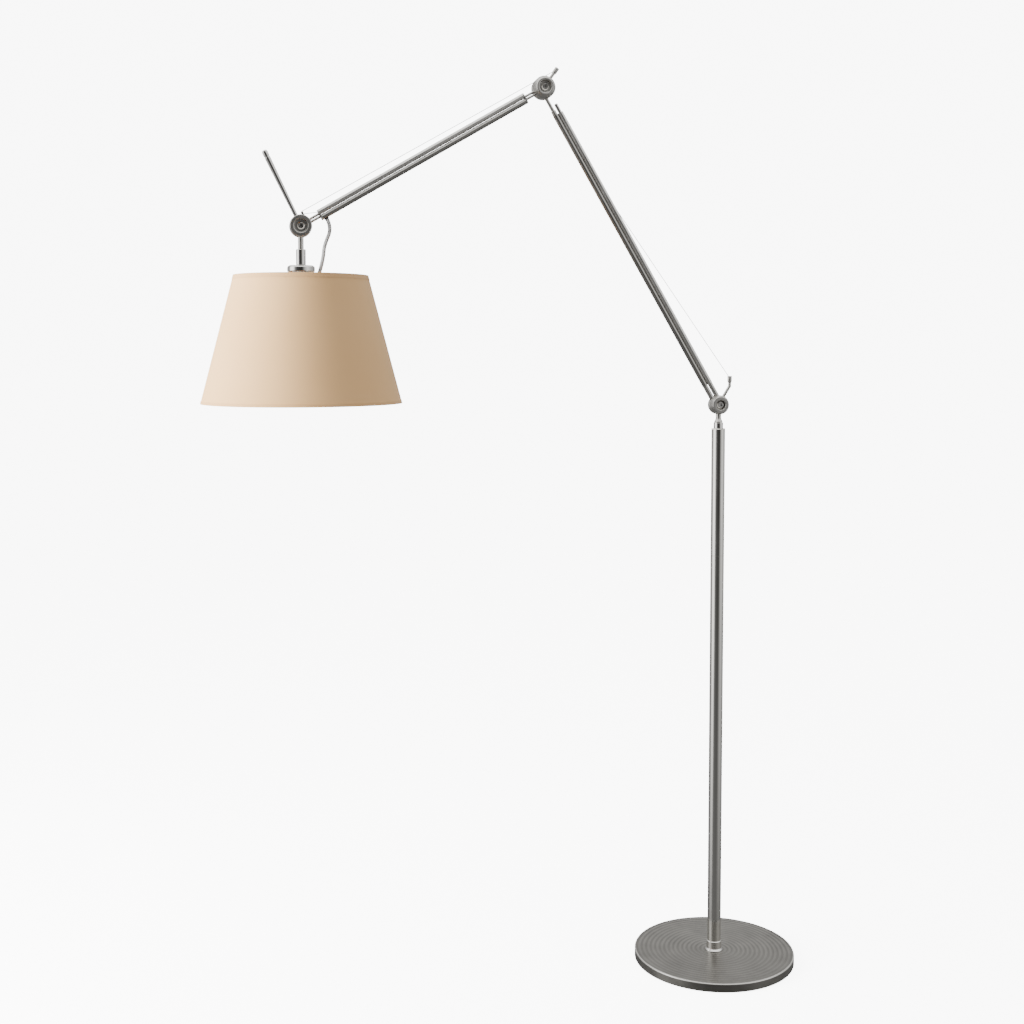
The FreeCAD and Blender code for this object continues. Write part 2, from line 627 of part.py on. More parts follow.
def make_lower_arm():
    high = "(lower_arm_length - lower_end)"
    horn, inside = lower_cable_line()
    slope = (inside.x - horn.x) / (inside.y - horn.y)
    enters = inside.x - slope * (size("tube_radius") + size("cable_radius")) - size("slot_margin")
    clears = size("tube_radius") - size("tube_wall") - size("cable_radius")
    leaves = inside.x - slope * clears + size("slot_margin")
    spring_tube = tube("lower_spring_tube", "tube_radius", "tube_wall", "lower_start", high)
    corner = Vector(-size("slot_width") / 2, -2 * size("tube_radius"), enters)
    slot = block("lower_slot", "slot_width", "tube_radius * 2", str(leaves - enters),
                 Placement(corner, Rotation()))
    slotted = cut("lower_spring_tube_slotted", spring_tube, slot)
    node("lower_arm_spring_tube", slotted, arm_axis(lower_arm, -1))
    node("lower_arm_wire_tube", tube("lower_wire_tube", "tube_radius", "tube_wall", "lower_start", high),
         arm_axis(lower_arm, 1))
    inside = "(tube_radius - tube_wall - fit_gap)"
    node("lower_spring_adjuster", turned("adjuster_body", [
        ("0", f"{high} - arm_plug_length"), (inside, f"{high} - arm_plug_length"), (inside, high),
        ("adjuster_radius", high), ("adjuster_radius", f"{high} + adjuster_reach - 1.5"),
        ("adjuster_radius - 1", f"{high} + adjuster_reach"), ("0", f"{high} + adjuster_reach"),
    ]), arm_axis(lower_arm, -1))
    spring_top = f"({high} - arm_plug_length)"
    node("lower_balance_spring", ring("lower_spring", "spring_radius - spring_wire", "spring_radius",
                                      f"{spring_top} - lower_spring_length", spring_top),
         arm_axis(lower_arm, -1))


def make_elbow():
    reach = "(lower_end - sleeve_length)"
    arm_rod = rod("elbow_rod", [
        ("0", "elbow_radius / 2"), ("elbow_rod_radius", "elbow_radius / 2"), ("elbow_rod_radius", reach),
        ("sleeve_radius", reach), ("sleeve_radius", "lower_end"),
        ("tube_radius - tube_wall - fit_gap", "lower_end"),
        ("tube_radius - tube_wall - fit_gap", "lower_end + arm_plug_length"),
        ("0", "lower_end + arm_plug_length"),
    ], along(180, offset=-tube_pitch / 2))
    horn_turn = size("elbow_horn_angle") - lower_heading
    horn = plain_rod("elbow_horn_rod", "horn_radius", "elbow_radius * 0.6",
                     "elbow_horn_length - fork_length / 2", along(horn_turn))
    at_fork = along(horn_turn, start=size("elbow_horn_length") - size("fork_length") * pin_share)
    barrel = fork("elbow_fork", at_fork)
    cup = joined("elbow_cup", cup_of("elbow"), [arm_rod, horn, barrel], "elbow", True)
    openings = fork_openings("elbow_fork_openings", at_fork)
    node("elbow_cup", cut("elbow_cup_slotted", cup, openings), elbow_on_lower)
    knuckle_fittings("elbow", elbow_on_lower, "cable_groove")
    tip = heading(horn_turn).multVec(Vector(size("elbow_horn_length"), 0, 0))
    pin = cylinder("elbow_pin", "pin_radius", "fork_radius * 2",
                   Placement(Vector(tip.x, tip.y, -size("fork_radius")), Rotation()))
    node("elbow_horn_pin", pin, elbow_on_lower)


def yoke_plate(name, start):
    """A flat plate with round ends that covers both tubes' ends."""
    middle = block(name + "_middle", "yoke_thickness", "2 * tube_radius + tube_gap", "2 * tube_radius",
                   Placement(Vector(start, -tube_pitch / 2, -size("tube_radius")), Rotation()))
    ends = [cylinder(f"{name}_end_{side}", "tube_radius", "yoke_thickness",
                     along(0, offset=side * tube_pitch / 2, start=start)) for side in (-1, 1)]
    return fused(name, [middle] + ends)


def twin_rods(joint, outward):
    rods = []
    for side in (-1, 1):
        rods.append(plain_rod(f"{joint}_rod_{side + 1}", "twin_rod_radius", f"{joint}_radius / 2",
                              "upper_inset", along(outward, offset=side * size("twin_rod_pitch") / 2)))
    return rods


def make_upper_arm():
    far = "(upper_arm_length - upper_inset)"
    inside = "tube_radius - tube_wall - fit_gap"
    node("upper_arm_spring_tube", tube("upper_spring_tube", "tube_radius", "tube_wall", "upper_inset", far),
         arm_axis(upper_arm, -1))
    wire_tube = tube("upper_wire_tube", "tube_radius", "tube_wall", "upper_inset", far)
    grommet_at = size("upper_arm_length") - size("grommet_back")
    out = Rotation(Vector(1, 0, 0), -90)
    hole = cylinder("upper_wire_hole", "flex_radius + grommet_wall", "tube_radius * 2",
                    Placement(Vector(0, 0, grommet_at), out))
    node("upper_arm_wire_tube", cut("upper_wire_tube_holed", wire_tube, hole), arm_axis(upper_arm, 1))

    plugs = [plain_rod(f"elbow_plug_{side + 1}", inside, "upper_inset", "upper_inset + arm_plug_length",
                       along(0, offset=side * tube_pitch / 2)) for side in (-1, 1)]
    plate = yoke_plate("elbow_yoke", size("upper_inset") - size("yoke_thickness"))
    node("elbow_housing", joined("elbow_housing", housing_of("elbow"), twin_rods("elbow", 0) + plugs + [plate],
                                 "elbow", False), upper_arm)

    plate = yoke_plate("wrist_yoke", -size("upper_inset"))
    post_foot = Vector(-size("post_back"), -size("wrist_radius") * 0.5, -size("post_radius") * 1.5)
    post = cylinder("wrist_post", "post_radius", "post_rise - wrist_radius * 0.5",
                    Placement(post_foot, Rotation(Vector(1, 0, 0), 90)))
    peg_foot = Vector(-size("post_back"), -size("post_rise"), -size("post_radius") * 2.5)
    peg = cylinder("wrist_peg", "post_radius", "post_radius * 4", Placement(peg_foot, Rotation()))
    whole = joined("wrist_housing", housing_of("wrist"), twin_rods("wrist", 180) + [plate, post, peg],
                   "wrist", False)
    way_start = Vector(-size("upper_inset") - 1, -tube_pitch / 2, 0)
    way = cylinder("wrist_cable_way", "cable_radius * 5", "yoke_thickness * 2",
                   Placement(way_start, Rotation(Vector(0, 1, 0), 90)))
    node("wrist_housing", cut("wrist_housing_holed", whole, way), wrist_on_upper)

    anchor = "(upper_inset + arm_plug_length)"
    node("upper_balance_spring", ring("upper_spring", "spring_radius - spring_wire", "spring_radius",
                                      anchor, f"{anchor} + upper_spring_length"), arm_axis(upper_arm, -1))
    grommet = ring("grommet_body", "flex_radius + fit_gap", "flex_radius + grommet_wall - fit_gap",
                   "tube_radius - 1.5", "tube_radius + 2")
    node("flex_grommet", grommet, arm_axis(upper_arm, 1) * Placement(Vector(0, 0, grommet_at), out))


# ---- tension cables --------------------------------------------------------


def swept_circle(path, radius):
    """A round section along a wire of lines and arcs."""
    first = path.Edges[0]
    start = first.valueAt(first.FirstParameter)
    circle = Part.Circle(start, first.tangentAt(first.FirstParameter), radius)
    return path.makePipeShell([Part.Wire([circle.toShape()])], True, True)


def feature(label, shape, placement):
    part = doc.addObject("Part::Feature", label + "_solid")
    part.Shape = shape
    node(label, part, placement)


def make_cables():
    radius = size("cable_radius")
    horn, inside = lower_cable_line()
    pull = (inside - horn).normalize()
    start = horn + pull * (size("pin_radius") + size("face_gap"))
    strand = Part.makeCylinder(radius, (inside - start).Length, start, pull)
    feature("lower_tension_cable", strand, lower_arm)

    elbow_tip = heading(size("elbow_horn_angle") - upper_heading).multVec(
        Vector(size("elbow_horn_length"), 0, 0))
    peg = Vector(size("upper_arm_length") - size("post_back"), -size("post_rise"), 0)
    wrap = size("post_radius") + size("fit_gap") + radius
    over = (peg - elbow_tip).normalize()
    lift = Vector(over.y, -over.x, 0)
    top = peg + lift * wrap
    start = elbow_tip + over * (size("pin_radius") + size("face_gap"))
    tube_mouth = Vector(size("upper_arm_length") - size("upper_inset"), -tube_pitch / 2, 0)
    back = (tube_mouth - peg).normalize()
    under = peg + Vector(-back.y, back.x, 0) * -wrap
    far_side = peg + ((top - peg) + (under - peg)).normalize() * wrap
    if (far_side - peg).dot(over) < 0:
        far_side = peg - (far_side - peg)
    spring_end = Vector(size("upper_inset") + size("arm_plug_length") + size("upper_spring_length"),
                        -tube_pitch / 2, 0)
    path = Part.Wire([
        Part.LineSegment(start, top).toShape(),
        Part.Arc(top, far_side, under).toShape(),
        Part.LineSegment(under, tube_mouth).toShape(),
        Part.LineSegment(tube_mouth, spring_end).toShape(),
    ])
    feature("upper_tension_cable", swept_circle(path, radius), upper_arm)


# ---- head ------------------------------------------------------------------

neck_end = "(neck_length + neck_sleeve_length)"
cap_top = f"({neck_end} + washer_height)"
cap_foot = f"({cap_top} + cap_height)"
holder_top = f"({cap_foot} + spider_hub_height)"
holder_foot = f"({holder_top} + holder_length)"


def make_head():
    """Everything on the head's own axis is turned, with heights below the wrist axis."""
    neck = rod("wrist_neck", [
        ("0", "wrist_radius / 2"), ("neck_radius", "wrist_radius / 2"), ("neck_radius", neck_end),
        ("head_stud_radius", neck_end), ("head_stud_radius", f"{holder_top} + 10"),
        ("0", f"{holder_top} + 10"),
    ], along(-90))
    cup = joined("wrist_cup", cup_of("wrist"), [neck], "wrist", True)
    root = Placement(Vector(0, 0, size("handle_forward")), Rotation())
    handle_root = root * along(size("handle_angle"))
    socket = rod("wrist_handle_socket", [
        ("0", "wrist_recess + 1.5"), ("handle_root_radius", "wrist_recess + 1.5"),
        ("handle_root_radius", "wrist_radius + 8"), ("0", "wrist_radius + 8"),
    ], handle_root)
    node("wrist_cup", cut("wrist_cup_holed", cup, socket), head)
    knuckle_fittings("wrist", head)
    node("head_handle", turned("handle_body", [
        ("0", "wrist_recess + 1.5"), ("handle_root_radius", "wrist_recess + 1.5"),
        ("handle_root_radius", "wrist_radius + 2"),
        ("handle_tip_radius", "handle_length - 18"), ("handle_tip_radius", "handle_length - 15"),
        ("handle_tip_radius - 0.8", "handle_length - 15"),
        ("handle_tip_radius - 0.8", "handle_length - 13"),
        ("handle_tip_radius", "handle_length - 13"), ("handle_tip_radius", "handle_length - 3"),
        ("handle_tip_radius - 1", "handle_length - 1"),
        ("handle_tip_radius - 3", "handle_length"), ("0", "handle_length"),
    ]), head * handle_root)
    node("neck_sleeve", turned("neck_sleeve_body", [
        ("neck_radius + fit_gap", "neck_length"), ("neck_sleeve_radius - 1", "neck_length"),
        ("neck_sleeve_radius", "neck_length + 1"), ("neck_sleeve_radius", neck_end),
        ("neck_radius + fit_gap", neck_end),
    ]), head_down)
    stud_bore = "head_stud_radius + fit_gap"
    node("cap_washer", ring("cap_washer_body", stud_bore, "neck_sleeve_radius", neck_end, cap_top), head_down)
    node("shade_cap", turned("shade_cap_body", [
        (stud_bore, cap_top), ("cap_radius - 4", cap_top), ("cap_radius - 0.8", f"{cap_top} + 2.4"),
        ("cap_radius", f"{cap_top} + 4.2"), ("cap_radius", f"{cap_foot} - 1.2"),
        ("cap_radius - 1.2", cap_foot), (stud_bore, cap_foot),
    ]), head_down)
    holder_inside = "(bulb_cap_radius + face_gap)"
    node("lampholder", turned("lampholder_body", [
        (stud_bore, holder_top), ("holder_radius * 0.6", holder_top),
        ("holder_radius", f"{holder_top} + 10"), ("holder_radius", holder_foot),
        (holder_inside, holder_foot), (holder_inside, f"{holder_foot} - bulb_cap_length - 2"),
        (stud_bore, f"{holder_foot} - bulb_cap_length - 2"),
    ]), head_down)
    node("lampholder_ring", ring("holder_ring_body", "holder_radius + fit_gap", "holder_ring_radius",
                                 f"{holder_foot} - 16", f"{holder_foot} - 16 + holder_ring_height"), head_down)
    node("bulb_cap", turned("bulb_cap_body", [
        ("0", f"{holder_foot} - bulb_cap_length - 1"), ("4", f"{holder_foot} - bulb_cap_length - 1"),
        ("bulb_cap_radius", f"{holder_foot} - bulb_cap_length + 4"), ("bulb_cap_radius", holder_foot),
        ("0", holder_foot),
    ]), head_down)


def make_bulb():
    """Glass bulb: a neck that widens to meet a ball."""
    centre = f"({holder_foot} + bulb_length - bulb_radius)"
    neck = turned("bulb_neck_body", [
        ("0", holder_foot), ("bulb_neck - 1", holder_foot), ("bulb_neck + 1", f"{holder_foot} + 8"),
        ("bulb_radius * 0.82", f"{centre} - bulb_radius * 0.57"), ("0", centre),
    ])
    ball = doc.addObject("Part::Sphere", "bulb_ball")
    ball.setExpression("Radius", bound("bulb_radius"))
    ball.setExpression("Placement.Base.z", bound(centre))
    node("bulb_glass", fused("bulb_fused", [neck, ball]), head_down)


def shade_radius(depth):
    """Formula for the shade's outer radius at a depth below its top edge."""
    return f"(shade_top_radius + (shade_bottom_radius - shade_top_radius) * ({depth}) / shade_height)"


def cone_band(name, inset, thickness, top, bottom):
    """A band of the shade's cone between two depths, its outer face inset from the shade's."""
    outer_top = f"{shade_radius(top)} - ({inset})"
    outer_bottom = f"{shade_radius(bottom)} - ({inset})"
    return turned(name, [
        (outer_top, f"shade_drop + {top}"), (outer_bottom, f"shade_drop + {bottom}"),
        (f"{outer_bottom} - {thickness}", f"shade_drop + {bottom}"),
        (f"{outer_top} - {thickness}", f"shade_drop + {top}"),
    ])


def make_shade():
    node("shade", cone_band("shade_body", "0", "shade_wall", "0", "shade_height"), head_down)
    node("shade_top_hem", cone_band("top_hem_body", "-hem_thickness", "hem_thickness", "0", "top_hem"),
         head_down)
    node("shade_bottom_hem", cone_band("bottom_hem_body", "-hem_thickness", "hem_thickness",
                                       "shade_height - bottom_hem", "shade_height"), head_down)
    rise = size("shade_bottom_radius") - size("shade_top_radius")
    slope = rise / size("shade_height")
    clear = size("shade_wall") + size("wire_gap") + size("wire_radius") * 1.1
    depth = size("wire_radius") * 2
    top_ring = doc.addObject("Part::Torus", "top_wire")
    top_ring.Radius1 = size("shade_top_radius") + slope * depth - clear
    top_ring.setExpression("Radius2", bound("wire_radius"))
    top_ring.Placement = Placement(Vector(0, 0, size("shade_drop") + depth), Rotation())
    hub = ring("spider_hub", "head_stud_radius + fit_gap", "spider_hub_radius", cap_foot, holder_top)
    hub_middle = size("neck_length") + size("neck_sleeve_length") + size("washer_height")
    hub_middle = hub_middle + size("cap_height") + size("spider_hub_height") / 2
    inner = size("spider_hub_radius") - size("wire_radius") * 2
    outer = top_ring.Radius1.Value
    arms = []
    for turn in (60, 180, 300):
        outward = Rotation(Vector(0, 0, 1), turn)
        start = outward.multVec(Vector(inner, 0, 0)) + Vector(0, 0, hub_middle)
        end = outward.multVec(Vector(outer, 0, 0)) + Vector(0, 0, size("shade_drop") + depth)
        arm = doc.addObject("Part::Cylinder", f"spider_arm_{turn}")
        arm.setExpression("Radius", bound("wire_radius"))
        arm.Height = (end - start).Length
        arm.Placement = Placement(start, Rotation(Vector(0, 0, 1), end - start))
        arms.append(arm)
    node("shade_spider", fused("spider_fused", [top_ring, hub] + arms), head_down)
    bottom_ring = doc.addObject("Part::Torus", "bottom_wire")
    bottom_ring.Radius1 = size("shade_bottom_radius") - slope * depth - clear
    bottom_ring.setExpression("Radius2", bound("wire_radius"))
    low = size("shade_drop") + size("shade_height") - depth
    node("shade_bottom_wire", bottom_ring, head_down * Placement(Vector(0, 0, low), Rotation()))


# ---- lead between the upper arm and the lampholder ---------------------------


def make_flex():
    """Straight runs joined by tangent arcs, hanging from the grommet to the lampholder."""
    grommet_at = size("upper_arm_length") - size("grommet_back")
    leave = upper_arm.multVec(Vector(grommet_at, tube_pitch / 2 + size("tube_radius") - 1.5, 0))
    outward = upper_arm.Rotation.multVec(Vector(0, 1, 0))
    # points of the route, from the wrist axis in the arms' plane: across and up
    route = [
        leave,
        leave + outward * 22,
        wrist_point + Vector(45, 0, -36),
        wrist_point + Vector(43, 0, -58),
        wrist_point + Vector(38, 0, -80),
        wrist_point + Vector(31, 0, -101),
        wrist_point + Vector(22.8, 0, -120),
    ]
    edges = []
    at = route[0]
    radii = []
    for before, corner, after in zip(route, route[1:], route[2:]):
        into = (corner - before).normalize()
        onward = (after - corner).normalize()
        shorter = min((corner - before).Length, (after - corner).Length)
        setback = 0.45 * shorter
        first = corner - into * setback
        last = corner + onward * setback
        middle_out = (onward - into).normalize()
        radius = setback * (into + onward).Length / (onward - into).Length
        reach = (radius**2 + setback**2) ** 0.5 - radius
        edges.append(Part.LineSegment(at, first).toShape())
        edges.append(Part.Arc(first, corner + middle_out * reach, last).toShape())
        radii.append(round(radius, 1))
        at = last
    edges.append(Part.LineSegment(at, route[-1]).toShape())
    path = Part.Wire(edges)
    solid = swept_circle(path, size("flex_radius"))
    expected = math.pi * size("flex_radius") ** 2 * path.Length
    print("flex lead: length", round(path.Length, 1), "radii", radii,
          "volume share", round(solid.Volume / expected, 4))
    feature("flex_lead", solid, UPRIGHT)


make_foot()
make_stem()
make_swivel()
make_shoulder()
make_lower_arm()
make_elbow()
make_upper_arm()
make_cables()
make_head()
make_bulb()
make_shade()
make_flex()

doc.recompute()
for thing in doc.Objects:
    if "Invalid" in thing.State or "Error" in thing.State:
        raise RuntimeError(f"{thing.Name} failed to build: {thing.State}")
for label, solid in nodes.items():
    if solid.Shape.isNull() or not solid.Shape.isValid() or not solid.Shape.Solids:
        raise RuntimeError(f"{label} has no valid solid")

os.makedirs("parts", exist_ok=True)
for label, solid in nodes.items():
    solid.Shape.exportStep(f"parts/{label}.step")
print(len(nodes), "nodes written")
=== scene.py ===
import bmesh
import bpy
import json
import math
from mathutils import Matrix, Vector


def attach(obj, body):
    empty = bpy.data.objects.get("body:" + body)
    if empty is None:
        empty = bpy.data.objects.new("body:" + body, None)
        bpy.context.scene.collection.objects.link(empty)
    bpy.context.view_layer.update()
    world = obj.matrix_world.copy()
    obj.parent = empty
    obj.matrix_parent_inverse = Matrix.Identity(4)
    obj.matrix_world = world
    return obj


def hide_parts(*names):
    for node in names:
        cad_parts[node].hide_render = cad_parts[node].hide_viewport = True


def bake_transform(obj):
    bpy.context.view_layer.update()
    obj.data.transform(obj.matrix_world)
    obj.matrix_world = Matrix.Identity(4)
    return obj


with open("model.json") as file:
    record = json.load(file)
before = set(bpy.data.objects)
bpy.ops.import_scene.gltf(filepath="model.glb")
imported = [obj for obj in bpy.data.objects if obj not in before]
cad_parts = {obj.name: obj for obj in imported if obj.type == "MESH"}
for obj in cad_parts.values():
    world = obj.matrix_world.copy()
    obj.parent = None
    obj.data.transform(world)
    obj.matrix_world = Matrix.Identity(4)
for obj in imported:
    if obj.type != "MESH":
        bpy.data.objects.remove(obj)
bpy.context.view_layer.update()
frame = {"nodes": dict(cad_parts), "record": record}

# Floor lamp with two balanced arms. Sizes below are millimetres in each piece's own frame;
# a frame's matrix turns them into metres in the lamp's frame.

# Small helpers: places, colours, nodes

mm = Matrix.Scale(0.001, 4)


def shift(x=0.0, y=0.0, z=0.0):
    return Matrix.Translation((x, y, z))


def turn(degrees, axis):
    return Matrix.Rotation(math.radians(degrees), 4, axis)


def along(degrees, offset=0.0, start=0.0, forward=0.0):
    # In a knuckle's frame, z runs outwards at an angle, beside the centre.
    return turn(degrees, "Z") @ shift(start, offset, forward) @ turn(90, "Y")


def between(first, last):
    # z runs from one point to another, both in the same frame.
    run = Vector(last) - Vector(first)
    return shift(*first) @ run.to_track_quat("Z", "Y").to_matrix().to_4x4(), run.length


def linear(code):
    # sRGB hex value to the linear colour that shaders take.
    parts = [int(code[i:i + 2], 16) / 255 for i in (1, 3, 5)]
    parts = [p / 12.92 if p < 0.04045 else ((p + 0.055) / 1.055) ** 2.4 for p in parts]
    return (*parts, 1.0)


def addNode(tree, kind, settings=None, links=None):
    node = tree.nodes.new(kind)
    for name, value in (settings or {}).items():
        if isinstance(name, str) and hasattr(node, name):
            setattr(node, name, value)
        else:
            node.inputs[name].default_value = value
    for name, (source, output) in (links or {}).items():
        tree.links.new(source.outputs[output], node.inputs[name])
    return node


def newMaterial(name, settings):
    material = bpy.data.materials.new(name)
    material.use_nodes = True
    tree = material.node_tree
    shader = tree.nodes["Principled BSDF"]
    for socket, value in settings.items():
        shader.inputs[socket].default_value = value
    return material, tree, shader


# Frames of the lamp's joints

arms = {"shoulderHeight": 1158, "lowerLength": 727, "lowerAngle": 59.8, "upperLength": 551.4,
        "upperAngle": 30.2, "tubeRadius": 5.5, "tubeWall": 1.0, "tubePitch": 11.3,
        # from the knuckle below: each arm's tubes, and the slot for the lower cable
        "lowerTube": (48, 669.7), "upperTube": (44.5, 506.9), "slot": (424, 467.8), "slotHalf": 1.2}
facing = turn(90, "X")  # x and y in the plane of the arms, z towards the front
shoulderFrame = mm @ shift(0, 0, arms["shoulderHeight"]) @ facing
lowerHeading = 180 - arms["lowerAngle"]
upperHeading = 180 + arms["upperAngle"]
lowerArmFrame = shoulderFrame @ turn(lowerHeading, "Z")
elbowLowerFrame = lowerArmFrame @ shift(arms["lowerLength"])
upperArmFrame = elbowLowerFrame @ turn(upperHeading - lowerHeading, "Z")
wristUpperFrame = upperArmFrame @ shift(arms["upperLength"])
headFrame = wristUpperFrame @ turn(-upperHeading, "Z")
headDown = headFrame @ turn(90, "X")  # z is the depth below the wrist's axis
standFrame = mm

# Camera

camera = {"place": (-0.9184, -2.7765, 1.2852), "yaw": -10.0, "tilt": 86.56, "lens": 49.8,
          "shift": -0.0825}


def makeCamera():
    data = bpy.data.cameras.new("camera")
    data.lens = camera["lens"]
    data.sensor_width = 36
    data.shift_y = camera["shift"]
    data.clip_end = 50
    obj = bpy.data.objects.new("camera", data)
    obj.location = camera["place"]
    obj.rotation_euler = (math.radians(camera["tilt"]), 0, math.radians(camera["yaw"]))
    bpy.context.scene.collection.objects.link(obj)
    bpy.context.scene.camera = obj


makeCamera()
print("camera placed")

# Shells: closed forms in millimetres


def finishShell(bm, place, bevel=0.0, segments=2, bevelAngle=32):
    # Rounds the sharp edges, turns the faces outwards and puts the shell in its place.
    bmesh.ops.remove_doubles(bm, verts=bm.verts, dist=0.001)
    bmesh.ops.recalc_face_normals(bm, faces=bm.faces)
    if bevel:
        sharp = [e for e in bm.edges if len(e.link_faces) == 2
                 and e.calc_face_angle() > math.radians(bevelAngle)]
        bmesh.ops.bevel(bm, geom=sharp, offset=bevel, offset_type="OFFSET", segments=segments,
                        profile=0.5, affect="EDGES", clamp_overlap=True, material=-1)
    bmesh.ops.transform(bm, matrix=place, verts=bm.verts)
    return bm


def spun(profile, place, steps=64, bevel=0.4, hollow=False, segments=2, bevelAngle=32):
    # A profile of (radius, height) spun about z; a hollow one is closed on itself.
    bm = bmesh.new()
    points = [bm.verts.new((radius, 0, height)) for radius, height in profile]
    runs = [bm.edges.new(pair) for pair in zip(points, points[1:])]
    if hollow:
        runs.append(bm.edges.new((points[-1], points[0])))
    bmesh.ops.spin(bm, geom=points + runs, cent=(0, 0, 0), axis=(0, 0, 1), angle=math.tau,
                   steps=steps, use_merge=True)
    return finishShell(bm, place, bevel, segments, bevelAngle)


def tubeShell(outer, wall, low, high, place, steps=48):
    return spun([(outer - wall, low), (outer, low), (outer, high), (outer - wall, high)],
                place, steps, 0.35, True)


def rodShell(radius, low, high, place, steps=32, bevel=0.3):
    return spun([(0, low), (radius, low), (radius, high), (0, high)], place, steps, bevel)


def hexShell(flats, low, high, place):
    # A chamfered hexagon nut.
    bm = bmesh.new()
    outer = flats / math.sqrt(3)
    bmesh.ops.create_cone(bm, cap_ends=True, segments=6, radius1=outer, radius2=outer,
                          depth=high - low, matrix=shift(0, 0, (low + high) / 2))
    return finishShell(bm, place, 0.5)


def newPiece(name, shells, material, body, replaced=(), smoothAngle=34):
    # One object from its shells, riding on a body.
    mesh = bpy.data.meshes.new(name)
    whole = bmesh.new()
    for shell in shells:
        part = bpy.data.meshes.new(name + "_part")
        shell.to_mesh(part)
        whole.from_mesh(part)
        bpy.data.meshes.remove(part)
        shell.free()
    for face in whole.faces:
        face.smooth = True
    for edge in whole.edges:
        if len(edge.link_faces) == 2:
            edge.smooth = edge.calc_face_angle() < math.radians(smoothAngle)
    whole.to_mesh(mesh)
    whole.free()
    mesh.materials.append(material)
    obj = bpy.data.objects.new(name, mesh)
    bpy.context.scene.collection.objects.link(obj)
    weighted = obj.modifiers.new("weighted", "WEIGHTED_NORMAL")
    weighted.keep_sharp = True
    if body:
        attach(obj, body)
    if replaced:
        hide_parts(*replaced)
    return obj


# Materials


def metal(name, colour, roughness, grain, stretch, lean=0.0, relief=0.05, wear=0.06):
    # Metal with a directional grain. stretch is along the grain's own z, leaned by degrees.
    material, tree, shader = newMaterial(name, {"Metallic": 1.0, "Roughness": roughness})
    coords = addNode(tree, "ShaderNodeTexCoord")
    leaned = addNode(tree, "ShaderNodeMapping",
                     {"Rotation": (0, math.radians(lean), 0)}, {"Vector": (coords, "Object")})
    stretched = addNode(tree, "ShaderNodeMapping", {"Scale": (1, 1, 1 / stretch)},
                        {"Vector": (leaned, "Vector")})
    streaks = addNode(tree, "ShaderNodeTexNoise",
                      {"Scale": 1 / grain, "Detail": 4.0, "Roughness": 0.6},
                      {"Vector": (stretched, "Vector")})
    clouds = addNode(tree, "ShaderNodeTexNoise", {"Scale": 18.0, "Detail": 3.0},
                     {"Vector": (coords, "Object")})
    tone = addNode(tree, "ShaderNodeMix", {"data_type": "RGBA", 6: linear(colour[0]), 7: linear(colour[1])},
                   {0: (streaks, "Fac")})
    tree.links.new(tone.outputs[2], shader.inputs["Base Color"])
    haze = addNode(tree, "ShaderNodeMapRange",
                   {"From Min": 0.3, "From Max": 0.7, "To Min": roughness - wear, "To Max": roughness + wear},
                   {"Value": (clouds, "Fac")})
    tree.links.new(haze.outputs["Result"], shader.inputs["Roughness"])
    bump = addNode(tree, "ShaderNodeBump", {"Strength": relief, "Distance": 0.0002},
                   {"Height": (streaks, "Fac")})
    tree.links.new(bump.outputs["Normal"], shader.inputs["Normal"])
    return material


# Steel tube, drawn, brushed along its length and satin nickel plated: long soft streaks.
drawnStem = metal("satinNickelStem", ("#CDCBC6", "#D6D4CF"), 0.15, 0.0012, 80, 0, 0.01)
# Painted light: the same satin nickel in a lit copy for the springs' tubes and a shaded copy for the lead's
# tubes below them.
tubePaintedLightTones = {"spring": ("#E6E4DF", "#EDEBE6"), "wire": ("#A9A7A2", "#B4B2AD")}
litAndShadedTubeMetals = {(arm, side): metal(f"satinNickel{arm.title()}{side.title()}", tone, 0.3, 0.001, 80, lean, 0.006)
         for arm, lean in (("lower", 30.2), ("upper", 120.2)) for side, tone in tubePaintedLightTones.items()}
# Zinc castings, tumbled and nickel plated: even satin with a faint cloudiness, no direction.
castNickel = metal("nickelledCasting", ("#C6C4BF", "#D2D0CB"), 0.34, 0.0016, 1, 0, 0.015)
# Turned brass and steel, nickel plated and buffed: nearly a mirror.
buffedNickel = metal("buffedNickel", ("#D2D0CC", "#DCDAD6"), 0.1, 0.0012, 1, 0, 0.004, 0.03)
# Zinc-plated fasteners: duller and slightly blue.
zincPlate = metal("zincPlatedSteel", ("#A9ACAE", "#BCBFC1"), 0.32, 0.0008, 1, 0, 0.08)
# Oiled spring wire and stranded cable: dark grey steel.
darkWire = metal("oiledSteelWire", ("#6B6C6E", "#85868A"), 0.35, 0.0004, 8, 0, 0.1)
# Cast iron under black primer, sand-cast and coarse.
castIron = metal("primedCastIron", ("#2B2B2B", "#3A3A3A"), 0.7, 0.002, 1, 0, 0.6)


def ringWave(tree, coords, pitch):
    # circles about the lamp's own axis, pitch in metres
    return addNode(tree, "ShaderNodeTexWave",
                   {"wave_type": "RINGS", "rings_direction": "Z", "Scale": math.tau / (20 * pitch),
                    "Distortion": 0.0, "Detail": 0.0}, {"Vector": (coords, "Object")})


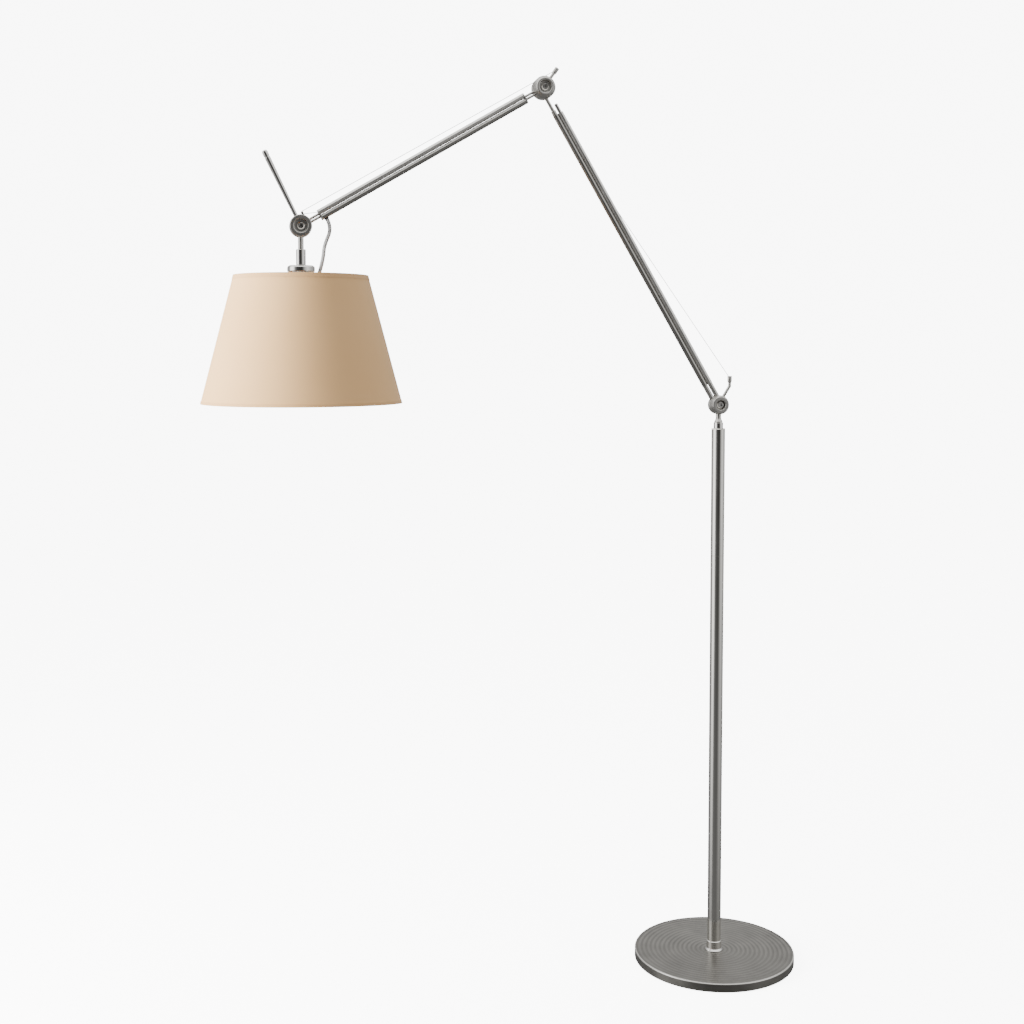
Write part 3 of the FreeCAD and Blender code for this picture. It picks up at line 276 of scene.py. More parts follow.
def spunSheet():
    # Steel sheet spun on a lathe, left with its tool rings and satin nickel plated: broad dark
    # and light rings about 9 mm apart with fine ones between, on an even mid grey.
    material, tree, shader = newMaterial("spunSatinNickel", {"Metallic": 1.0, "Roughness": 0.34})
    coords = addNode(tree, "ShaderNodeTexCoord")
    broad = ringWave(tree, coords, 0.0094)
    fine = ringWave(tree, coords, 0.0031)
    clouds = addNode(tree, "ShaderNodeTexNoise", {"Scale": 30.0, "Detail": 4.0},
                     {"Vector": (coords, "Object")})
    rings = addNode(tree, "ShaderNodeMix", {0: 0.3}, {2: (broad, "Fac"), 3: (fine, "Fac")})
    worn = addNode(tree, "ShaderNodeMix", {0: 0.4}, {2: (rings, 0), 3: (clouds, "Fac")})
    tone = addNode(tree, "ShaderNodeMix", {"data_type": "RGBA", 6: linear("#64625E"), 7: linear("#979590")},
                   {0: (worn, 0)})
    # a painted highlight: a lighter colour in a thin band round the top of the rounded rim draws the bright
    # line there
    flat = addNode(tree, "ShaderNodeVectorMath", {"operation": "MULTIPLY", 1: (1, 1, 0)},
                   {0: (coords, "Object")})
    reach = addNode(tree, "ShaderNodeVectorMath", {"operation": "LENGTH"}, {0: (flat, "Vector")})
    outer = addNode(tree, "ShaderNodeMapRange", {"From Min": 0.1622, "From Max": 0.1630},
                    {"Value": (reach, "Value")})
    place = addNode(tree, "ShaderNodeSeparateXYZ", {}, {0: (coords, "Object")})
    high = addNode(tree, "ShaderNodeMapRange", {"From Min": 0.0162, "From Max": 0.0172},
                   {"Value": (place, "Z")})
    rim = addNode(tree, "ShaderNodeMath", {"operation": "MULTIPLY"}, {0: (outer, 0), 1: (high, 0)})
    paintedRimHighlight = addNode(tree, "ShaderNodeMix", {"data_type": "RGBA", 7: linear("#D5D3CE")},
                    {0: (rim, 0), 6: (tone, 2)})
    tree.links.new(paintedRimHighlight.outputs[2], shader.inputs["Base Color"])
    haze = addNode(tree, "ShaderNodeMapRange",
                   {"From Min": 0.3, "From Max": 0.7, "To Min": 0.3, "To Max": 0.4},
                   {"Value": (clouds, "Fac")})
    tree.links.new(haze.outputs["Result"], shader.inputs["Roughness"])
    bump = addNode(tree, "ShaderNodeBump", {"Strength": 0.5, "Distance": 0.0005}, {"Height": (rings, 0)})
    tree.links.new(bump.outputs["Normal"], shader.inputs["Normal"])
    return material


def laminatedCloth(name, colours, thread=0.0011):
    # Cloth laminated on card, as lampshades are: a fine plain weave under a flat matt surface.
    # Its threads are drawn at 1.1 mm, coarser than real, so that they show.
    material, tree, shader = newMaterial(name, {"Roughness": 0.82, "Sheen Weight": 0.15,
                                                "Sheen Roughness": 0.5})
    coords = addNode(tree, "ShaderNodeTexCoord")
    apart = addNode(tree, "ShaderNodeMapping", {"Location": (0.842257, 0, 0)}, {"Vector": (coords, "Object")})
    warp = addNode(tree, "ShaderNodeTexWave",
                   {"wave_type": "BANDS", "bands_direction": "Z", "Scale": math.tau / (20 * thread),
                    "Distortion": 0.6, "Detail": 1.0}, {"Vector": (apart, "Vector")})
    turnedRound = addNode(tree, "ShaderNodeTexNoise", {"Scale": 260.0, "Detail": 3.0, "Roughness": 0.6},
                          {"Vector": (apart, "Vector")})
    clouds = addNode(tree, "ShaderNodeTexNoise", {"Scale": 7.0, "Detail": 4.0},
                     {"Vector": (coords, "Object")})
    weave = addNode(tree, "ShaderNodeMath", {"operation": "MULTIPLY"},
                    {0: (warp, "Fac"), 1: (turnedRound, "Fac")})
    tone = addNode(tree, "ShaderNodeMix", {"data_type": "RGBA", 6: linear(colours[0]), 7: linear(colours[1])},
                   {0: (clouds, "Fac")})
    tree.links.new(tone.outputs[2], shader.inputs["Base Color"])
    bump = addNode(tree, "ShaderNodeBump", {"Strength": 0.15, "Distance": 0.0002}, {"Height": (weave, 0)})
    tree.links.new(bump.outputs["Normal"], shader.inputs["Normal"])
    return material


def mouldedPlastic(name, colours, roughness, grain=0.0012, relief=0.1):
    # Injection-moulded or extruded: a fine even surface, softly mottled.
    material, tree, shader = newMaterial(name, {"Roughness": roughness})
    coords = addNode(tree, "ShaderNodeTexCoord")
    speckle = addNode(tree, "ShaderNodeTexNoise", {"Scale": 1 / grain, "Detail": 3.0},
                      {"Vector": (coords, "Object")})
    clouds = addNode(tree, "ShaderNodeTexNoise", {"Scale": 60.0, "Detail": 2.0},
                     {"Vector": (coords, "Object")})
    tone = addNode(tree, "ShaderNodeMix", {"data_type": "RGBA", 6: linear(colours[0]), 7: linear(colours[1])},
                   {0: (clouds, "Fac")})
    tree.links.new(tone.outputs[2], shader.inputs["Base Color"])
    bump = addNode(tree, "ShaderNodeBump", {"Strength": relief, "Distance": 0.0002},
                   {"Height": (speckle, "Fac")})
    tree.links.new(bump.outputs["Normal"], shader.inputs["Normal"])
    return material


spunFoot = spunSheet()
shadeCloth = laminatedCloth("laminatedShadeCloth", ("#D3A76F", "#D9AF7B"))
hemTape = laminatedCloth("foldedShadeTape", ("#C89C68", "#CFA674"), 0.0009)
leadSheath = mouldedPlastic("greyPvcSheath", ("#A6A6A5", "#B0B0AF"), 0.6, 0.0012, 0.03)
blackRubber = mouldedPlastic("mouldedBlackRubber", ("#161616", "#222222"), 0.75, 0.0016, 0.3)
whiteNylon = mouldedPlastic("turnedWhiteNylon", ("#D8D6CE", "#E3E1DA"), 0.5)
whiteHolder = mouldedPlastic("mouldedWhiteHolder", ("#DAD8D0", "#E4E2DB"), 0.3)
whiteWire = mouldedPlastic("powderCoatedWire", ("#D9D8D3", "#E6E5E1"), 0.4, 0.0009, 0.2)
opalGlass = mouldedPlastic("opalGlass", ("#EFECE4", "#F6F4EE"), 0.12, 0.004, 0.02)
print("materials made")

finishes = {
    "satin_steel": drawnStem, "cast_aluminium": castNickel, "turned_aluminium": buffedNickel,
    "chrome": buffedNickel, "zinc_steel": zincPlate, "spring_steel": darkWire,
    "stranded_cable": darkWire, "cast_iron": castIron, "black_rubber": blackRubber,
    "bearing_plastic": whiteNylon, "lead_sheath": leadSheath, "holder_plastic": whiteHolder,
    "bulb_cap_brass": zincPlate, "opal_glass": opalGlass, "parchment": shadeCloth,
    "parchment_tape": hemTape, "white_wire": whiteWire,
}
for entry in frame["record"]["subparts"]:
    held = frame["nodes"][entry["node"]]
    held.data.materials.clear()
    held.data.materials.append(finishes[entry["material_slot"]])

# Lead and tension cables


def splinePoints(name, route):
    # Points along the smooth line that the route's points control.
    curve = bpy.data.curves.new(name + "_line", "CURVE")
    curve.dimensions = "3D"
    curve.resolution_u = 24
    spline = curve.splines.new("NURBS")
    spline.points.add(len(route) - 1)
    for point, place in zip(spline.points, route):
        point.co = (*place, 1)
    spline.order_u = 3
    spline.use_endpoint_u = True
    line = bpy.data.objects.new(name + "_line", curve)
    bpy.context.scene.collection.objects.link(line)
    mesh = bpy.data.meshes.new_from_object(line)
    points = [v.co.copy() for v in mesh.vertices]
    bpy.data.objects.remove(line)
    bpy.data.meshes.remove(mesh)
    return points


def tubeAlong(points, radius, sides=20):
    # A closed tube that follows points in the arms' plane; metres.
    bm = bmesh.new()
    rings = []
    for index, point in enumerate(points):
        ahead = points[min(index + 1, len(points) - 1)] - points[max(index - 1, 0)]
        square = ahead.to_track_quat("Z", "Y").to_matrix().to_4x4()
        made = bmesh.ops.create_circle(bm, segments=sides, radius=radius,
                                       matrix=Matrix.Translation(point) @ square)
        rings.append(made["verts"])
    for first, second in zip(rings, rings[1:]):
        edges = [e for ring in (first, second) for e in {e for v in ring for e in v.link_edges}
                 if all(v in ring for v in e.verts)]
        bmesh.ops.bridge_loops(bm, edges=edges)
    for ring in (rings[0], rings[-1]):
        bm.faces.new(ring)
    bmesh.ops.recalc_face_normals(bm, faces=bm.faces)
    return bm


# The lead leaves the grommet square to the arm; the route is its way down to the lampholder.
lead = {"radius": 0.0037, "outlet": (500.4, 9.65), "straight": 22,
        "route": [(45, -36), (43, -58), (38, -80), (31, -101), (22.8, -120)]}


def makeLead():
    start, side = lead["outlet"]
    route = [upperArmFrame @ Vector((start, side + run, 0)) for run in (0, lead["straight"])]
    route += [headFrame @ Vector((across, up, 0)) for across, up in lead["route"]]
    points = splinePoints("flex_lead", route)
    piece = newPiece("lead_flex", [tubeAlong(points, lead["radius"])], leadSheath, None,
                     ["flex_lead"])
    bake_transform(piece)


# Where the horns hold their pins, in their own knuckle's frame
horns = {"shoulderPin": (23.2, 54.5), "bend": 38, "elbowAngle": 54.8, "elbowReach": 44}
# The peg that turns the upper cable back into its tube, in the wrist's frame
peg = {"place": (-16, -20.5), "radius": 2, "low": -5, "high": 3, "postStart": 10.9, "postEnd": 20.5,
       "postBack": -3}
cable = {"radius": 0.6, "sides": 10, "pinGap": 1.4, "springEnd": 501.7, "wrap": 2.65, "bends": 8}


def cableShell(first, last, frameOf):
    # A strand whose only rings are its ends.
    place, length = between(first, last)
    return rodShell(cable["radius"], 0, length, frameOf @ place, cable["sides"], 0)


def makeCables():
    tubeAxis = -arms["tubePitch"] / 2
    horn = turn(-lowerHeading, "Z") @ Vector((*horns["shoulderPin"], 0))
    inside = Vector((cable["springEnd"], tubeAxis, 0))
    pull = (inside - horn).normalized()
    lower = newPiece("cable_lower", [cableShell(horn + pull * cable["pinGap"], inside, lowerArmFrame)],
                     darkWire, None, ["lower_tension_cable"])
    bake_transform(lower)
    tip = turn(horns["elbowAngle"] - upperHeading, "Z") @ Vector((horns["elbowReach"], 0, 0))
    centre = Vector((arms["upperLength"] + peg["place"][0], peg["place"][1], 0))
    over = (centre - tip).normalized()
    top = centre + Vector((over.y, -over.x, 0)) * cable["wrap"]
    upper = newPiece("cable_upper", [cableShell(tip + over * cable["pinGap"], top, upperArmFrame)],
                     darkWire, None, ["upper_tension_cable"])
    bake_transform(upper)
    mouth = Vector((arms["upperTube"][1], tubeAxis, 0))
    back = (mouth - centre).normalized()
    under = centre - Vector((-back.y, back.x, 0)) * cable["wrap"]
    side = math.copysign((top - centre).angle(under - centre), (top - centre).cross(under - centre).z)
    loop = []
    for step in range(cable["bends"] + 1):
        swing = Matrix.Rotation(side * step / cable["bends"], 3, "Z")
        loop.append(upperArmFrame @ (centre + swing @ (top - centre)))
    loop.append(upperArmFrame @ mouth)
    newPiece("cable_loop", [tubeAlong(loop, cable["radius"] / 1000, cable["sides"])], darkWire,
             "upper_arm", [])


makeLead()
makeCables()
print("lead and cables made")

# Foot and stem

foot = {"radius": 165, "top": 19, "edge": 2.2, "bore": 6.6, "wall": 1.5, "lift": 1.5,
        "firstRing": 22, "lastRing": 158, "ringPitch": 9.4, "ringGroove": 0.55, "landing": 3, "lastStep": 1.2,
        # between two grooves: how far, as a share of the pitch, and how deep below the top
        "crown": ((0.3, 0.12), (0.55, 0), (0.85, 0.15))}
collar = {"height": 20, "wall": 1.6, "flare": 3, "gap": 0.05, "lip": 1, "slope": 1.2, "slopeTop": 2.4,
          "flareTop": 4}
gland = {"place": (0, 155, 9), "profile": [(3.4, 0), (5, 0), (5, 10), (6.8, 10), (6.4, 11.8), (3.4, 11.8)]}
sole = {"radius": 159, "height": 3, "chamfer": 1}
stem = {"radius": 13.9, "wall": 1.5, "split": 848, "top": 1108}
swivel = {"bore": 6, "radius": 9.7, "low": 1109.8, "high": 1122.5, "chamfer": 1.5}


def makeFoot():
    top, groove = foot["top"], foot["top"] - foot["ringGroove"]
    radius = foot["firstRing"]
    profile = [(foot["bore"], top - foot["wall"]), (foot["bore"], top), (radius - foot["landing"], top)]
    while radius < foot["lastRing"] - 1:
        # each ring is a low crown between two shallow grooves
        profile.append((radius, groove))
        profile += [(radius + foot["ringPitch"] * share, top - depth) for share, depth in foot["crown"]]
        radius += foot["ringPitch"]
    profile += [(radius, groove), (radius + foot["lastStep"], top)]
    for step in range(5):
        angle = math.radians(22.5 * step)
        profile.append((foot["radius"] - foot["edge"] * (1 - math.sin(angle)),
                        top - foot["edge"] * (1 - math.cos(angle))))
    inner = foot["radius"] - foot["wall"]
    profile += [(foot["radius"], foot["lift"]), (inner, foot["lift"]), (inner, top - foot["wall"])]
    newPiece("foot_top", [spun(profile, standFrame, 256, 0, True)], spunFoot, "stand", ["foot_cover"])


def makeFootFittings():
    low, high = foot["top"], foot["top"] + collar["height"]
    inner = stem["radius"] + collar["gap"]
    outer = stem["radius"] + collar["wall"]
    flare, lip = outer + collar["flare"], collar["lip"]
    profile = [(inner, low), (flare, low), (flare, low + lip),
               (flare - collar["slope"], low + collar["slopeTop"]), (outer, low + collar["flareTop"]),
               (outer, high - lip), (outer - lip, high), (inner, high)]
    newPiece("foot_collar", [spun(profile, standFrame, 96, 0.35, True)], buffedNickel, "stand",
             ["stem_collar"])
    place = standFrame @ shift(*gland["place"]) @ turn(-90, "X")
    newPiece("foot_gland", [spun(gland["profile"], place, 40, 0.4, True)], blackRubber, "stand",
             ["lead_gland"])
    radius, height, chamfer = (sole[k] for k in ("radius", "height", "chamfer"))
    profile = [(0, 0), (radius - chamfer, 0), (radius, chamfer), (radius, height), (0, height)]
    newPiece("foot_sole", [spun(profile, standFrame, 160, 0)], blackRubber, "stand", ["foot_pad"])


def makeStem():
    for name, low, high in (("lower", foot["top"], stem["split"]), ("upper", stem["split"], stem["top"])):
        newPiece(f"stem_{name}", [tubeShell(stem["radius"], stem["wall"], low, high, standFrame, 96)],
                 drawnStem, "stand", [f"stem_{name}_tube"])
    bore, radius, low, high, chamfer = (swivel[k] for k in ("bore", "radius", "low", "high", "chamfer"))
    profile = [(bore, low), (radius, low), (radius, high - chamfer), (radius - chamfer, high), (bore, high)]
    newPiece("stem_collar_turned", [spun(profile, standFrame, 64, 0.4, True)], buffedNickel, "swivel",
             ["swivel_collar"])


makeFoot()
makeFootFittings()
makeStem()
print("foot and stem made")

# Knuckles

knuckles = {
    "shoulder": {"radius": 19.5, "rim": 16.8, "depth": 16.5, "recess": 10, "cup": "swivel"},
    "elbow": {"radius": 22, "rim": 17, "depth": 22, "recess": 12.6, "cup": "lower_arm"},
    "wrist": {"radius": 21.8, "rim": 20.6, "depth": 20, "recess": 13.6, "cup": "head"},
}
# What the knuckles share; side, rearSide and rearTaper are shares of a knuckle's depth.
hub = {"bore": 4.05, "gap": 1, "recess": 8, "draft": 1, "side": 0.55, "rearSide": 0.7, "rearTaper": 0.2,
       "rearRadius": 11.5, "rearDepth": 9, "play": 0.3}
bolt = {"radius": 4, "head": 7.6, "headHeight": 5.6, "headSide": 0.6, "headRound": 0.72, "socket": 3,
        "socketDepth": 3.5, "flats": 13, "nutHeight": 6, "washer": 9, "washerHeight": 1.5}


def cupShell(knuckle, place):
    radius, rim, depth, recess = (knuckle[k] for k in ("radius", "rim", "depth", "recess"))
    floor = depth - hub["recess"]
    return spun([(hub["bore"], hub["gap"]), (radius, hub["gap"]), (radius, depth * hub["side"]), (rim, depth),
                 (recess, depth), (recess - hub["draft"], floor), (hub["bore"], floor)],
                place, 96, 1.0, True, 3)


def housingShell(knuckle, place):
    radius, depth = knuckle["radius"], knuckle["depth"]
    floor = hub["rearDepth"] - depth
    return spun([(hub["bore"], -hub["gap"]), (radius, -hub["gap"]), (radius, -hub["rearSide"] * depth),
                 (radius - hub["rearTaper"] * depth, -depth), (hub["rearRadius"], -depth),
                 (hub["rearRadius"], floor), (hub["bore"], floor)],
                place, 96, 1.0, True, 3)


def boltShell(knuckle, place):
    seat = knuckle["depth"] - hub["recess"]
    head = seat + bolt["headHeight"]
    end = hub["rearDepth"] - knuckle["depth"] - hub["play"] - bolt["washerHeight"] - bolt["nutHeight"]
    pit = head - bolt["socketDepth"]
    bm = spun([(0, end), (bolt["radius"], end), (bolt["radius"], seat), (bolt["head"], seat),
               (bolt["head"], seat + bolt["headHeight"] * bolt["headSide"]),
               (bolt["head"] * bolt["headRound"], head), (bolt["socket"], head), (bolt["socket"], pit),
               (0, pit)], Matrix(), 48, 0)
    for vert in bm.verts:
        # the round pit becomes a hexagon
        if 0.1 < Vector(vert.co.xy).length < bolt["socket"] + 0.01 and vert.co.z > seat:
            angle = math.atan2(vert.co.y, vert.co.x) % (math.pi / 3) - math.pi / 6
            vert.co.xy *= 1 / math.cos(angle)
    return finishShell(bm, place, 0.25)


def makeFittings(name, place):
    knuckle = knuckles[name]
    body = knuckle["cup"]
    newPiece(name + "_screw", [boltShell(knuckle, place)], buffedNickel, body, [name + "_bolt"])
    top = hub["rearDepth"] - knuckle["depth"] - hub["play"]
    low = top - bolt["washerHeight"]
    newPiece(name + "_lock_nut", [hexShell(bolt["flats"], low - bolt["nutHeight"], low, place)], zincPlate,
             body, [name + "_nut"])
    profile = [(hub["bore"], low), (bolt["washer"], low), (bolt["washer"], top), (hub["bore"], top)]
    newPiece(name + "_washer", [spun(profile, place, 48, 0.25, True)], zincPlate, body,
             [name + "_spring_washer"])


# Horns: reach is how far the fork's base stands below its pin
fork = {"radius": 4.6, "stem": 3.2, "length": 14, "slot": 2.4, "pin": 1.1, "reach": 9.8}


def forkShells(place):
    # Two prongs cut from one barrel, either side of the cable's slot.
    shells = []
    for side in (-1, 1):
        bm = spun([(0, 0), (fork["stem"], 0), (fork["radius"], fork["stem"]),
                   (fork["radius"], fork["length"]), (0, fork["length"])], Matrix(), 32, 0.5)
        edge = Vector((0, side * fork["slot"] / 2, 0))
        halved = bmesh.ops.bisect_plane(bm, geom=bm.verts[:] + bm.edges[:] + bm.faces[:], plane_co=edge,
                                        plane_no=(0, side, 0), clear_inner=True)
        rim = [e for e in halved["geom_cut"] if isinstance(e, bmesh.types.BMEdge)]
        bmesh.ops.edgeloop_fill(bm, edges=rim)
        shells.append(finishShell(bm, place))
    return shells


def frontFork(degrees, offset, start):
    # A fork that points outwards in the arms' plane, its slot across the knuckle's axis.
    return turn(degrees, "Z") @ shift(start, offset, 0) @ Matrix(
        ((0, 0, 1, 0), (-1, 0, 0, 0), (0, -1, 0, 0), (0, 0, 0, 1)))


def pinShell(place):
    return rodShell(fork["pin"], -fork["radius"], fork["radius"], place, 16, 0.2)


plug = {"radius": 4.45, "depth": 18}  # what stands inside each end of an arm's tube
shoulder = {"hornStart": 11.7, "prong": 5, "prongStart": 9.75,
            "neck": [(0, 9.75), (5.6, 9.75), (5.6, 26.5), (6.2, 30), (8.4, 34), (8.4, 35.5), (0, 35.5)]}


def makeShoulder():
    place = shoulderFrame
    neck = spun(shoulder["neck"], place @ along(-90), 64, 0.5)
    across, height = horns["shoulderPin"]
    base = height - fork["reach"]
    bend = Vector((across, horns["bend"], 0))
    slant = math.degrees(math.atan2(bend.y, bend.x))
    horn = rodShell(fork["stem"], shoulder["hornStart"], bend.length, place @ along(slant))
    knee = bmesh.new()
    bmesh.ops.create_uvsphere(knee, u_segments=24, v_segments=12, radius=fork["stem"])
    finishShell(knee, place @ shift(*bend))
    upright = rodShell(fork["stem"], horns["bend"], base, place @ along(90, -across))
    prongs = forkShells(place @ frontFork(90, -across, base))
    newPiece("shoulder_front", [cupShell(knuckles["shoulder"], place), neck, horn, knee, upright, *prongs],
             castNickel, "swivel", ["shoulder_cup"])
    newPiece("shoulder_pin", [pinShell(place @ shift(across, height, 0))], zincPlate,
             "swivel", ["shoulder_horn_pin"])
    makeFittings("shoulder", place)
    half, low = arms["tubePitch"] / 2, arms["lowerTube"][0]
    start, radius = shoulder["prongStart"], shoulder["prong"]
    profile = [(0, start), (radius, start), (radius, low), (plug["radius"], low),
               (plug["radius"], low + plug["depth"]), (0, low + plug["depth"])]
    prongs = [spun(profile, lowerArmFrame @ along(0, side * half), 48, 0.3) for side in (-1, 1)]
    newPiece("shoulder_rear", [housingShell(knuckles["shoulder"], lowerArmFrame), *prongs], castNickel,
             "lower_arm", ["shoulder_housing"])


def slottedTube(place, low, high, slotLow, slotHigh):
    # The spring's tube, with the cable's slot on its lower side.
    outer = arms["tubeRadius"]
    inner = outer - arms["tubeWall"]
    bm = spun([(inner, low), (outer, low), (outer, slotLow), (outer, slotHigh), (outer, high), (inner, high),
               (inner, slotHigh), (inner, slotLow)], Matrix(), 48, 0, True)
    away = []
    for face in bm.faces:
        centre = face.calc_center_median()
        inWall = centre.xy.length > inner - 0.2
        if slotLow < centre.z < slotHigh and inWall and abs(centre.x) < arms["slotHalf"] and centre.y < 0:
            away.append(face)
    bmesh.ops.delete(bm, geom=away, context="FACES")
    rim = [e for e in bm.edges if e.is_boundary]
    bmesh.ops.bridge_loops(bm, edges=rim)
    return finishShell(bm, place)


adjuster = {"profile": [(0, 651.7), (4.4, 651.7), (4.4, 669.7), (3.6, 669.7), (3.6, 687.2), (2.6, 688.7),
                        (0, 688.7)]}


def makeArms():
    half = arms["tubePitch"] / 2
    springSide = lowerArmFrame @ along(0, -half)
    newPiece("lower_tube_spring", [slottedTube(springSide, *arms["lowerTube"], *arms["slot"])],
             litAndShadedTubeMetals["lower", "spring"], "lower_arm", ["lower_arm_spring_tube"])
    for arm, frameOf, side in (("lower", lowerArmFrame, "wire"), ("upper", upperArmFrame, "spring"),
                               ("upper", upperArmFrame, "wire")):
        tube = tubeShell(arms["tubeRadius"], arms["tubeWall"], *arms[arm + "Tube"],
                         frameOf @ along(0, half if side == "wire" else -half))
        newPiece(f"{arm}_tube_{side}", [tube], litAndShadedTubeMetals[arm, side], arm + "_arm",
                 [f"{arm}_arm_{side}_tube"])
    newPiece("spring_adjuster", [spun(adjuster["profile"], springSide, 40, 0.3)], buffedNickel,
             "lower_arm", ["lower_spring_adjuster"])


yoke = {"rod": 2.6, "rodStart": 10.9, "rodApart": 2.9, "plate": 5.5, "plateThick": 3}
elbow = {"hornStart": 13.2, "hornEnd": 37,
         "arm": [(0, 11), (3.5, 11), (3.5, 48.3), (4.9, 48.3), (4.9, 57.3), (4.45, 57.3), (4.45, 75.3),
                 (0, 75.3)]}


def makeElbow():
    place = elbowLowerFrame
    half, low = arms["tubePitch"] / 2, arms["upperTube"][0]
    arm = spun(elbow["arm"], place @ along(180, -half), 48, 0.4)
    swing = horns["elbowAngle"] - lowerHeading
    horn = rodShell(fork["stem"], elbow["hornStart"], elbow["hornEnd"], place @ along(swing))
    prongs = forkShells(place @ frontFork(swing, 0, horns["elbowReach"] - fork["reach"]))
    newPiece("elbow_front", [cupShell(knuckles["elbow"], place), arm, horn, *prongs], castNickel, "lower_arm",
             ["elbow_cup"])
    tip = turn(swing, "Z") @ Vector((horns["elbowReach"], 0, 0))
    newPiece("elbow_pin", [pinShell(place @ shift(*tip))], zincPlate, "lower_arm", ["elbow_horn_pin"])
    makeFittings("elbow", place)
    plugs = [rodShell(plug["radius"], low, low + plug["depth"], upperArmFrame @ along(0, side * half))
             for side in (-1, 1)]
    yokeParts = yokeShells(upperArmFrame, 0, low - yoke["plateThick"])
    newPiece("elbow_rear", [housingShell(knuckles["elbow"], upperArmFrame), *yokeParts, *plugs],
             castNickel, "upper_arm", ["elbow_housing"])


def yokeShells(base, degrees, start):
    # Two thin rods and the plate that carries the tubes.
    half = arms["tubePitch"] / 2
    shells = [rodShell(yoke["rod"], yoke["rodStart"], arms["upperTube"][0],
                       base @ along(degrees, side * yoke["rodApart"])) for side in (-1, 1)]
    plate = bmesh.new()
    made = bmesh.ops.create_circle(plate, cap_ends=True, segments=48, radius=yoke["plate"])
    for vert in made["verts"]:
        vert.co.y += math.copysign(half, vert.co.y)
    raised = bmesh.ops.extrude_face_region(plate, geom=plate.faces[:])
    tops = [v for v in raised["geom"] if isinstance(v, bmesh.types.BMVert)]
    bmesh.ops.translate(plate, verts=tops, vec=(0, 0, yoke["plateThick"]))
    shells.append(finishShell(plate, base @ shift(start) @ turn(90, "Y"), 0.4))
    return shells


wrist = {"neck": [(0, 10.9), (5.6, 10.9), (5.6, 74), (5, 74), (5, 101.6), (0, 101.6)]}
handle = {"angle": 115.7, "forward": 8,
          "profile": [(0, 15.1), (4, 15.1), (4, 23.8), (5.6, 140), (5.6, 143), (4.8, 143), (4.8, 145),
                      (5.6, 145), (5.6, 153.5), (4.9, 156.3), (3, 157.6), (0, 158)]}


def makeWrist():
    across, drop = peg["place"]
    post = rodShell(peg["radius"], peg["postStart"], peg["postEnd"],
                    wristUpperFrame @ shift(across, 0, peg["postBack"]) @ turn(90, "X"), 24)
    pegRod = rodShell(peg["radius"], peg["low"], peg["high"], wristUpperFrame @ shift(across, drop, 0), 24)
    yokeParts = yokeShells(wristUpperFrame, 180, -arms["upperTube"][0])
    newPiece("wrist_rear", [housingShell(knuckles["wrist"], wristUpperFrame), *yokeParts, post, pegRod],
             castNickel, "upper_arm", ["wrist_housing"])
    neck = spun(wrist["neck"], headDown, 64, 0.3)
    newPiece("wrist_front", [cupShell(knuckles["wrist"], headFrame), neck], castNickel, "head", ["wrist_cup"])
    makeFittings("wrist", headFrame)
    place = headFrame @ shift(0, 0, handle["forward"]) @ along(handle["angle"])
    newPiece("wrist_handle", [spun(handle["profile"], place, 64, 0.3)], buffedNickel, "head",
             ["head_handle"])


makeShoulder()
makeArms()
makeElbow()
makeWrist()
print("knuckles and arms made")

# Head: heights are depths below the wrist's axis, but the shade's own start at its top

shade = {"drop": 94.5, "height": 247, "top": 129, "bottom": 193.5, "wall": 1, "topHem": 9,
         "bottomHem": 6, "hemProud": 0.5, "hemThick": 0.45}


def shadeRadius(depth):
    return shade["top"] + (shade["bottom"] - shade["top"]) * depth / shade["height"]


def coneBand(top, bottom, proud, thick, steps=256):
    # A band of the shade's cone between two depths.
    rows = [top + (bottom - top) * i / 6 for i in range(7)]
    outer = [(shadeRadius(d) + proud, shade["drop"] + d) for d in rows]
    inner = [(radius - thick, height) for radius, height in reversed(outer)]
    return spun(outer + inner, headDown, steps, 0, True)


def makeShade():
    height, proud, thick = shade["height"], shade["hemProud"], shade["hemThick"]
    newPiece("shade_cone", [coneBand(0, height, 0, shade["wall"])], shadeCloth, "head", ["shade"])
    for name, low, high in (("top", 0, shade["topHem"]), ("bottom", height - shade["bottomHem"], height)):
        newPiece("shade_hem_" + name, [coneBand(low, high, proud, thick)], hemTape, "head",
                 [f"shade_{name}_hem"])


# The wires lie in the shade's edges; inset is from the cloth's outer face to a wire's centre.
wires = {"radius": 1.5, "inset": 2.95, "edge": 3, "spokes": (60, 180, 300), "spokeStart": (15, 89.8),
         "hub": [(5.05, 88), (18, 88), (18, 91.6), (5.05, 91.6)]}


def ringShell(depth):
    # A wire bent round and welded, at a depth in the shade.
    bm = bmesh.new()
    place = shift(shadeRadius(depth) - wires["inset"], 0, shade["drop"] + depth) @ turn(90, "X")
    made = bmesh.ops.create_circle(bm, segments=12, radius=wires["radius"], matrix=place)
    edges = list({e for v in made["verts"] for e in v.link_edges})
    bmesh.ops.spin(bm, geom=made["verts"] + edges, cent=(0, 0, 0), axis=(0, 0, 1), angle=math.tau,
                   steps=160, use_merge=True)
    return finishShell(bm, headDown)


def makeShadeWires():
    near, high = wires["spokeStart"]
    far, low = shadeRadius(wires["edge"]) - wires["inset"], shade["drop"] + wires["edge"]
    spokes = []
    for degrees in wires["spokes"]:
        outward = turn(degrees, "Z")
        place, length = between(outward @ Vector((near, 0, high)), outward @ Vector((far, 0, low)))
        spokes.append(rodShell(wires["radius"], 0, length, headDown @ place, 16, 0))
    centre = spun(wires["hub"], headDown, 64, 0.4, True)
    newPiece("shade_frame", [ringShell(wires["edge"]), centre, *spokes], whiteWire, "head",
             ["shade_spider"])
    newPiece("shade_ring_bottom", [ringShell(shade["height"] - wires["edge"])], whiteWire, "head",
             ["shade_bottom_wire"])


